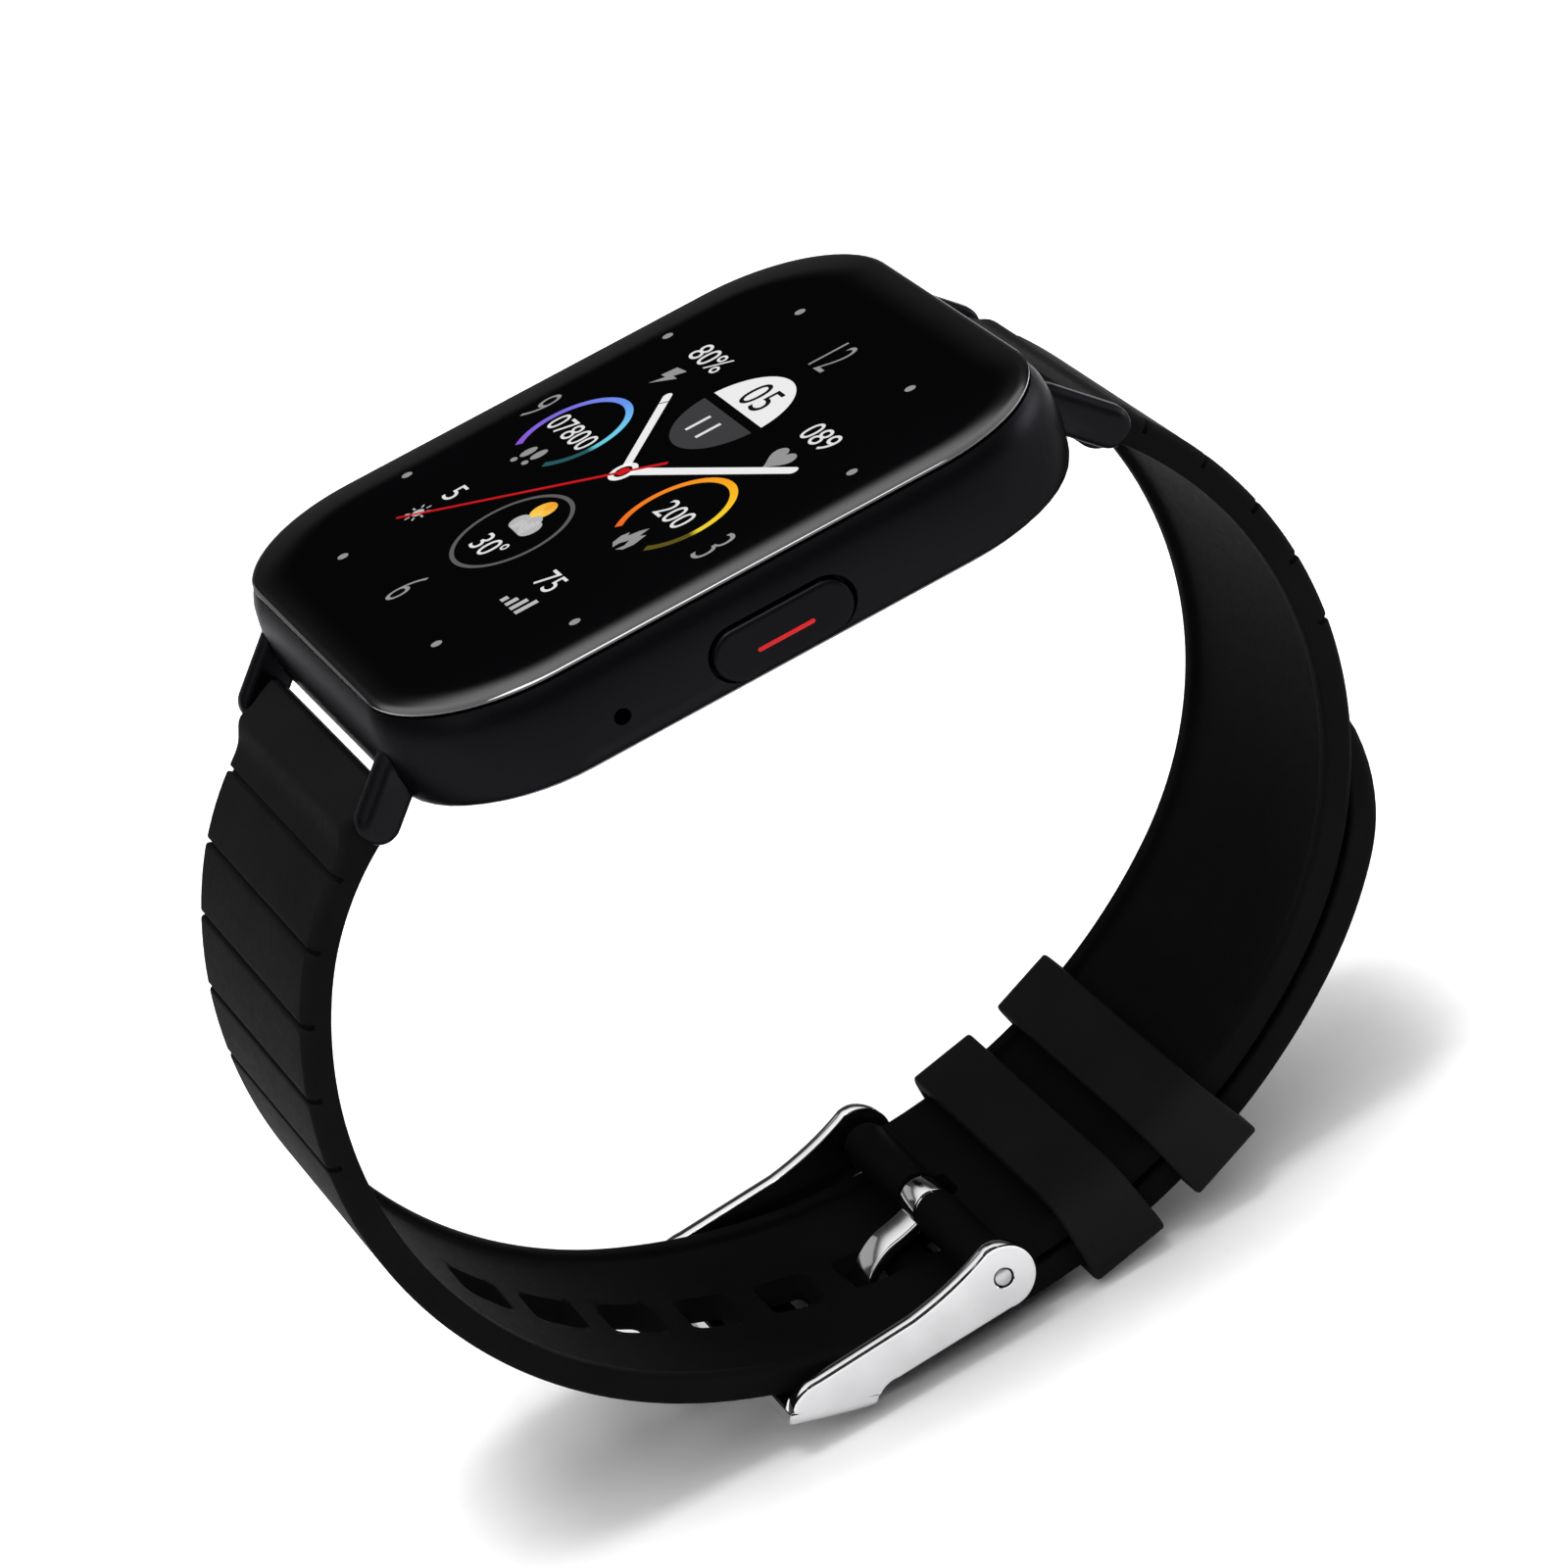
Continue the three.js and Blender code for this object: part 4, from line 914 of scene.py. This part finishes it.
def strap_profile(angle, depth, eye, side):
    """Depths of a strap's outer and inner faces at a loop angle, with its eye and the crest before it.

    The strap lies at a depth, its eye is at a (loop angle, radius), and it ends on one side of that.
    """
    outer, inner = depth, depth + BAND_THICKNESS
    at, radius = eye
    if abs(angle - at) > 30:
        return outer, inner
    away = radius * math.sin(math.radians(angle - at))
    middle = loop_arc(angle)[2] - radius * math.cos(math.radians(angle - at))
    past_crest = away * side + CREST_BEFORE_EYE
    height = outer - middle + math.sqrt(EYE_RADIUS ** 2 - CREST_BEFORE_EYE ** 2)
    if past_crest < 0:
        outer -= height * math.exp(-(past_crest / 1.15) ** 2)
        return outer, inner
    outer -= height - 0.3 * smoothstep(0, 1.1, past_crest)
    span = min(abs(away) / EYE_RADIUS, 1.0)
    outer = -smooth_least(-outer, EYE_RADIUS * (1 - span ** 2.8) ** (1 / 2.8) - middle, 0.25)
    half = EYE_RADIUS * math.sqrt(1 - span ** 2)
    fade = 1 - smoothstep(0, EYE_RADIUS, away * side)
    inner = -smooth_least(-mix(middle, inner, fade), -(middle + half), 0.28)
    return outer, inner


def barrel_profile(angle, outer, inner):
    """The same depths with the barrel round the buckle pin, at the short strap's end."""
    radius = LOOP_RADIUS - PIN_DEPTH
    reach = math.degrees(math.asin(BARREL_RADIUS / radius))
    inside = BARREL_RADIUS ** 2 - (radius * math.sin(math.radians(angle))) ** 2
    fade = smoothstep(-reach, 0, angle) if angle < 0 else 1
    outer = mix(PIN_DEPTH, outer, fade)
    inner = mix(PIN_DEPTH, inner, fade)
    if inside > 0:
        half = math.sqrt(inside)
        outer = smooth_least(outer, PIN_DEPTH - half, 0.1)
        inner = -smooth_least(-inner, -(PIN_DEPTH + half), 0.1)
    return outer, inner


def strap_section(half, outer, inner, groove, dish):
    """Points (x, depth) round the band: rounded outer edges, and a dished inner face with a rim."""
    thick = inner - outer
    soft = min(0.62, thick * 0.45, half * 0.5)
    small = min(0.26, thick * 0.2)
    narrow = half / BAND_HALF
    flat_half = half - soft
    points = [(flat_half * k / 8, outer + groove) for k in range(9)]
    edge_cut = groove * 0.9
    for k in range(1, 7):
        a = math.pi / 2 * k / 6
        wrap = groove * max(0.0, math.cos(a) * 0.8 + 0.2 * (1 - k / 6))
        points.append((flat_half + (soft - edge_cut) * math.sin(a), outer + soft * (1 - math.cos(a)) + wrap))
    for cut, t in ((0.9, 0.12), (0.1, 0.2), (0, 0.45), (0, 0.8)):
        points.append((half - edge_cut * cut, mix(outer + soft, inner - small, t)))
    for k in range(5):
        a = math.pi / 2 * k / 4
        points.append((half - small + small * math.cos(a), inner - small + small * math.sin(a)))
    rim = half - 1.05 * narrow
    points.append((mix(half - small, rim, 0.5), inner))
    fall = 0.45 * dish
    for t, drop in ((0, 0), (0.2, 0.1), (0.4, 0.42), (0.6, 0.78), (0.8, 0.96), (1, 1)):
        points.append((rim - 0.65 * narrow * t, inner - fall * drop))
    last = rim - 0.65 * narrow
    points += [(last * (1 - k / 6), inner - fall) for k in range(1, 7)]
    return points + [(-x, depth) for x, depth in reversed(points) if x > 1e-9]


def strap_angles(start, end, grooves, close):
    """Stations along a strap: even steps, and finer ones in close stretches and at each groove."""
    angles = []
    angle = start
    while angle < end:
        angles.append(angle)
        steps = [fine for low, high, fine in close if low <= angle <= high]
        angle += math.degrees((steps or [0.75])[-1] / loop_arc(angle)[2])
    angles.append(end)
    for groove in grooves:
        radius = loop_arc(groove)[2]
        near = math.degrees(0.55 / radius)
        angles = [a for a in angles if abs(a - groove) > near]
        angles += [groove + math.degrees(away / radius) for away in GROOVE_STATIONS]
    return sorted(angles)


def groove_depth(angle, grooves):
    """How deep the fine cross grooves are at an angle."""
    deepest = 0.0
    for groove in grooves:
        away = abs(math.radians(angle - groove)) * loop_arc(groove)[2]
        deepest = max(deepest, 0.34 * (1 - smoothstep(0.1, 0.24, away)))
    return deepest


def hole_cutter(angle):
    """Adjustment hole: a rounded slot with a deep bevelled mouth on the inner face."""
    mouth = BAND_THICKNESS - 0.45
    levels = (                # depth, half width, half length, corner radius
        (-1, 1.75, 1.2, 0.55), (0.0, 1.75, 1.2, 0.55),
        (mouth - 1.0, 1.75, 1.2, 0.55), (mouth - 0.9, 1.8, 1.25, 0.55),
        (mouth - 0.08, 2.3, 1.75, 0.8), (mouth + 0.02, 2.4, 1.85, 0.85), (mouth + 0.6, 3.0, 2.45, 1.1),
    )
    turn = math.radians(angle)
    inward = Vector((0, -math.sin(turn), math.cos(turn)))
    along = Vector((0, math.cos(turn), math.sin(turn)))
    middle = on_loop(0, angle, 0)
    rings = []
    for depth, *size in levels:
        slot = rounded_rectangle(*size, 4)
        rings.append([middle + (Vector((u, 0, 0)) + along * v + inward * depth) * MM for u, v in slot])
    return loft(rings)


def upright_slot(half_x, half_y, corner, steps, middle, heights):
    """Cutter with upright sides round a middle (x, y)."""
    slot = rounded_rectangle(half_x, half_y, corner, steps)
    return loft([[row(middle[0] + x, middle[1] + y, z) for x, y in slot] for z in heights])


def eye_cutters(end):
    """The spring bar's bore through a strap's eye, and the window under it for the bar's peg."""
    bore = rod(row(-15, end * BAR[0], BAR[1]), 30, BAR_BORE, 32)
    return bore, upright_slot(1.25, 0.75, 0.5, 4, (-6.9, end * BAR[0]), (BAR[1] - 4, BAR[1]))


def strap_object(name, angles, section):
    """Strap lofted through its cross-sections at a run of loop angles."""
    rings = [[on_loop(x, angle, depth) for x, depth in section(angle)] for angle in angles]
    return new_object(name, loft(rings))


def build_long_strap():
    eye = polar_about(-145, (-BAR[0], BAR[1]))
    at, radius = eye
    start = at - math.degrees(math.asin(EYE_RADIUS / radius)) * 0.985

    def section(angle):
        outer, inner = strap_profile(angle, 0.0, eye, -1)
        to_tip = math.radians(TAIL_TIP - angle) * BENDS_12[0][1]
        short = max(0.0, 1 - to_tip / 9.0)
        half = BAND_HALF * max(0.3, math.sqrt(max(0.0, 1 - short ** 2.4)))
        thin = 1 - smoothstep(1.2, 0, to_tip) * 0.75
        middle = (outer + inner) / 2
        dish = smoothstep(at + 6, at + 14, angle) * smoothstep(1, 8, to_tip)
        return strap_section(
            half, mix(middle, outer, thin), mix(middle, inner, thin), groove_depth(angle, GROOVES_6), dish)

    close = ((start, start + 3, 0.12), (start, -138, 0.28), (69.5, 72, 0.15))
    strap = strap_object("long_band", strap_angles(start, TAIL_TIP - 0.02, GROOVES_6, close), section)
    holes = []
    for i in range(-HOLES_TO_CASE, HOLES_TO_TIP + 1):
        holes.append(hole_cutter(HOLE_IN_USE if i == 0 else walk_loop(HOLE_IN_USE, i * HOLE_PITCH)))
    carve(strap, *eye_cutters(-1), *holes)
    finish(strap, "long_band", SILICONE, ["long_strap"], sharp=40)


def build_short_strap():
    eye = polar_about(130, BAR)
    at, radius = eye
    end = at + math.degrees(math.asin(EYE_RADIUS / radius)) * 0.985
    start = -math.degrees(math.asin(BARREL_RADIUS / (LOOP_RADIUS - PIN_DEPTH))) * 0.985

    def section(angle):
        faces = strap_profile(angle, BAND_THICKNESS + BAND_GAP, eye, 1)
        faces = barrel_profile(angle, *faces) if angle < 6 else faces
        dish = smoothstep(at - 6, at - 14, angle) * smoothstep(6, 14, angle)
        return strap_section(BAND_HALF, *faces, groove_depth(angle, GROOVES_12), dish)

    close = ((start, start + 0.6, 0.06), (start, 3.5, 0.16), (end - 3, end, 0.12), (124, end, 0.28))
    strap = strap_object("short_band", strap_angles(start, end, GROOVES_12, close), section)
    y, z = loop_point(0, PIN_DEPTH)
    tongue_notch = upright_slot(1.6, 3.0, 0.6, 6, (0, y - 1.0), (z - 3.5, z + 3.5))
    carve(strap, *eye_cutters(1), rod(row(-15, y, z), 30, 0.66, 24), tongue_notch)
    finish(strap, "short_band", SILICONE, ["short_strap"], sharp=40)


def build_keepers():
    """Each keeper: a soft-edged rubber band round both straps."""
    half, out, inn, corner = 12.0, -0.62, 4.95, 1.15
    wide, thick, edge = 3.55, 0.58, 0.3
    sides = rounded_rectangle(half, (inn - out) / 2, corner, 8)
    normals = rounded_rectangle(1, 1, 1, 8)
    path = evened([(x, (inn + out) / 2 + d, *normal) for (x, d), normal in zip(sides, normals)], 1.2, int)
    profile = rounded_rectangle(wide, thick, edge, 4)
    for name, (body, middle) in KEEPERS.items():
        rings = []
        for x, depth, nx, nd in path:
            ring = []
            for along, up in profile:
                crown = up + (0.05 * (1 - (along / wide) ** 2) if up > 0 else 0)
                angle = middle + 0.74 * math.degrees(along / 42.0)
                ring.append(on_loop(x + nx * crown, angle, depth + nd * crown))
            rings.append(ring)
        piece(f"{name}_ring", loft(rings, around=True), body, KEEPER_SILICONE_PAINTED_SHEEN, [name], 40)


# ---- buckle

def quadratic(a, by, b, steps=8):
    """Points of a curve that leaves a and reaches b, pulled towards by."""
    return [
        tuple(mix(mix(p, q, k / steps), mix(q, r, k / steps), k / steps) for p, q, r in zip(a, by, b))
        for k in range(1, steps + 1)
    ]


def plate_outline(py, pz):
    """Side view (y, z) of a buckle plate, from round the pin to the tail and back under the strap."""
    points = []
    for k in range(25):
        a = mix(-math.pi / 2 - 0.16, math.pi / 2 + 0.18, k / 24)
        points.append((py + 2.2 * math.cos(a), pz + 2.2 * math.sin(a)))
    bends = (((-4.6, 4.35), (-9.2, 3.5)), ((-13.6, 2.7), (-18.6, 1.45)), ((-20.9, 0.95), (-21.25, -0.45)))
    for by, to in bends:
        points += quadratic(points[-1], loop_point(*by), loop_point(*to))
    points += [loop_point(*place) for place in ((-20.6, -0.62), (-18, -0.66), (-15.5, -0.66), (-13.4, -0.6))]
    points += quadratic(points[-1], loop_point(-12.7, 0.1), loop_point(-11.6, 0.15))
    return evened(points, 0.35)


def buckle_bar():
    """The bar across the strap's outer face, with round ends and a seat for the tongue's tip."""
    ends = [(12.88, 0.62), (12.82, 0.85), (12.66, 1.12), (12.4, 1.32), (12.0, 1.44), (11.4, BAR_REACH)]
    straight = [(x, BAR_REACH) for x in (-8, -4, -1.75, -1.6, 0, 1.6, 1.75, 4, 8)]
    rings = []
    for x, reach in [(-x, reach) for x, reach in ends] + straight + ends[::-1]:
        low = -(reach - (BAR_SEAT if abs(x) <= 1.62 else 0.0))
        section = [(-13.75, -0.34), (-13.6, -0.5), (-13.6, low + 0.22), (-13.72, low + 0.06)]
        section += [(-14 - 6.9 * k / 10, low) for k in range(11)]
        section += [(-21.15, low + 0.06), (-21.3, low + 0.25), (-21.3, -0.5), (-21.15, -0.34)]
        section += [(-20.6 + 6.4 * k / 10, -0.3) for k in range(11)]
        rings.append([on_loop(x, angle, depth) for angle, depth in section])
    return loft(rings)


def build_buckle():
    pin = loop_point(0, PIN_DEPTH)
    inner, outer = PLATE_X
    levels = (
        (inner, 0.16), (inner + 0.05, 0.05), (inner + 0.16, 0),
        (outer - 0.2, 0), (outer - 0.06, 0.07), (outer, 0.22),
    )
    parts = []
    for side in (1, -1):
        parts.append(loft([outline_ring(plate_outline(*pin), inset, x, (side, 1)) for x, inset in levels]))
    buckle = new_object("buckle_body", merged(*parts, buckle_bar()))
    hole = [(0, 0), (0, 0.76), (0.09, 0.67), (25.81, 0.67), (25.9, 0.76), (25.9, 0)]
    carve(buckle, revolve(hole, row(-12.95, *pin), (1, 0, 0), 32))
    finish(buckle, "buckle", CHROME, ["buckle_frame"], sharp=28)
    length = 2 * AXLE_HALF
    head = [(0, 0), (0, 0.5), (0.05, 0.56), (length - 0.05, 0.56), (length, 0.5), (length, 0)]
    axle = revolve(head, row(-AXLE_HALF, *pin), (1, 0, 0), 32)
    piece("buckle_axle", axle, "short_band", STEEL, ["buckle_pin"], 40)
    build_tongue(pin)


def build_tongue(pin):
    """The tongue: a hub on the pin and a flat wire that goes out through the hole to its seat on the bar."""
    half_thick, half_wide = TONGUE_THICK / 2, TONGUE_WIDTH / 2
    seat = BAR_SEAT + 0.03 - BAR_REACH - 0.1 - half_thick
    route = [
        (-1.4, 3.2), (-3.4, 2.75), (-5.4, 2.3), (-7.1, 1.35), (-8.35, 0), (-10.6, -1.1),
        (-13.4, seat - 0.06), (-17.4, seat - 0.03),
    ]
    middle = spline([loop_point(*place) for place in route], 48)
    rings = []
    for i, (y, z) in enumerate(middle):
        y1, z1 = middle[max(i - 1, 0)]
        y2, z2 = middle[min(i + 1, len(middle) - 1)]
        size = math.hypot(y2 - y1, z2 - z1)
        ny, nz = -(z2 - z1) / size, (y2 - y1) / size
        t = i / (len(middle) - 1)
        thick = half_thick * (0.35 + 0.65 * smoothstep(1.0, 0.9, t))
        wide = half_wide * (0.6 + 0.4 * smoothstep(1.02, 0.93, t))
        section = rounded_rectangle(wide, thick, min(0.2, thick * 0.6), 4)
        rings.append([row(u, y + ny * v, z + nz * v) for u, v in section])
    hub = [(0, 0.68), (0, 1.3), (0.12, 1.42), (0.25, 1.45)]
    hub += [(TONGUE_WIDTH - x, radius) for x, radius in reversed(hub)] + hub[:1]
    tongue = merged(loft(rings), revolve(hub, row(-half_wide, *pin), (1, 0, 0), 48))
    piece("tongue_body", tongue, "tongue", CHROME, ["buckle_tongue"], 35)


# ---- carried-over CAD nodes

CARRIED = {
    GLASS: ["display_panel"],
    SEAL: ["display_adhesive", "button_seal"],
    BOARD: ["main_board", "sensor_board"],
    FOIL: ["battery"],
    GOLD: ["sensor_led"],
    BLACK_PLASTIC: ["speaker", "button_switch", "photodiode_1", "photodiode_2"],
    STEEL: [
        "haptic_motor", "microphone", "button_clip", "bar_tube_6", "bar_tube_12", "bar_spring_6",
        "bar_spring_12", "fixed_tip_6", "fixed_tip_12", "release_pin_6", "release_pin_12",
    ],
}


def dress_cad_nodes():
    """Gives the CAD nodes that stay in the model their node materials."""
    for material, names in CARRIED.items():
        for name in names:
            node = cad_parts[name]
            for slot in node.material_slots:
                slot.material = material
            if not node.material_slots:
                node.data.materials.append(material)


# ---- floor, light, camera

def paper():
    n = Nodes("paper floor")
    fibre = n.noise(400, 3, 0.5)
    n.set(
        Base_Color=n.colours(fibre, [(0.3, (0.93, 0.93, 0.93)), (0.7, (0.95, 0.95, 0.95))]),
        Roughness=0.9, Specular_IOR_Level=0.1,
    )
    return n.material


def soft_light(name, place, size, power):
    """Rectangular light that faces the middle of the watch."""
    data = bpy.data.lights.new(name, "AREA")
    data.shape = "RECTANGLE"
    data.size, data.size_y = size
    data.energy = power
    light = bpy.data.objects.new(name, data)
    light.location = place
    light.rotation_euler = (Vector((0, 0, 0.03)) - Vector(place)).to_track_quat("-Z", "Y").to_euler()
    bpy.context.scene.collection.objects.link(light)


SKY_LEVELS = (                # upward part of a direction, 0 level and 1 straight up, and brightness
    (0.0, 0.14), (0.1, 0.09), (0.2, 0.05), (0.44, 0.07), (0.52, 0.5), (0.62, 0.85), (0.75, 1.0), (1.0, 1.1),
)
FLAG_TOWARDS = (-0.887, 0.178, 0.426)


def build_sky():
    """A room that is bright overhead and dark lower down, with a dark flag in it."""
    world = bpy.data.worlds.new("studio")
    bpy.context.scene.world = world
    world.use_nodes = True
    graph = Graph(world.node_tree)
    direction = graph.add("ShaderNodeTexCoord").outputs["Generated"]
    height = graph.add("ShaderNodeSeparateXYZ", {"Vector": direction}).outputs["Z"]
    sky = graph.add("ShaderNodeFloatCurve")
    curve = sky.mapping.curves[0]
    while len(curve.points) < len(SKY_LEVELS):
        curve.points.new(0.5, 0.5)
    for point, level in zip(curve.points, SKY_LEVELS):
        point.location = level
    sky.mapping.update()
    graph.wire(sky.inputs["Value"], height)
    # The flag stands where the level glass mirrors the room towards the camera.
    toward = graph.add("ShaderNodeVectorMath", {0: direction, 1: FLAG_TOWARDS}, operation="DOT_PRODUCT")
    flag = graph.add("ShaderNodeMapRange", {
        "Value": toward.outputs["Value"], "From Min": 0.9955, "From Max": 0.9865, "To Min": 0.004,
    }, interpolation_type="SMOOTHSTEP")
    levels = {0: sky.outputs["Value"], 1: flag.outputs["Result"]}
    shaded = graph.add("ShaderNodeMath", levels, operation="MULTIPLY").outputs["Value"]
    background = graph.tree.nodes["Background"]
    graph.wire(background.inputs["Color"], shaded)
    background.inputs["Strength"].default_value = 1.35


def build_stage():
    bm = bmesh.new()
    bm.faces.new([bm.verts.new((x, y, -0.0002)) for x, y in ((-3, -3), (3, -3), (3, 3), (-3, 3))])
    floor = new_object("floor", bm)
    floor.data.materials.append(paper())
    build_sky()
    soft_light("overhead", (0.02, -0.02, 0.8), (0.36, 0.36), 5.5)
    soft_light("far_strip", (-0.12, 0.78, 0.1), (0.5, 0.2), 4.0)
    soft_light("left_box", (-0.8, -0.3, 0.26), (0.35, 0.25), 0.12)
    soft_light("near_strip", (0.3, -0.7, 0.35), (0.3, 0.2), 0.35)


def build_camera():
    """The photograph's camera: its place, its axes and its lens."""
    data = bpy.data.cameras.new("camera")
    data.sensor_width = 36
    data.lens = 163.605
    data.clip_start = 0.01
    data.clip_end = 20
    camera = bpy.data.objects.new("camera", data)
    right = Vector((0.348753, 0.862882, -0.365794)).normalized()
    back = Vector((0.886975, -0.177809, 0.426215)).normalized()
    axes = Matrix((right, back.cross(right), back)).transposed().to_4x4()
    camera.matrix_world = Matrix.Translation(row(388.2843, -77.3077, 163.2819)) @ axes
    bpy.context.scene.collection.objects.link(camera)
    bpy.context.scene.camera = camera
    bpy.context.scene.view_settings.view_transform = "Standard"


build_camera()
build_glass()
build_display()
build_case()
build_lugs()
build_rear()
build_button()
build_long_strap()
build_short_strap()
build_keepers()
build_buckle()
dress_cad_nodes()
build_stage()
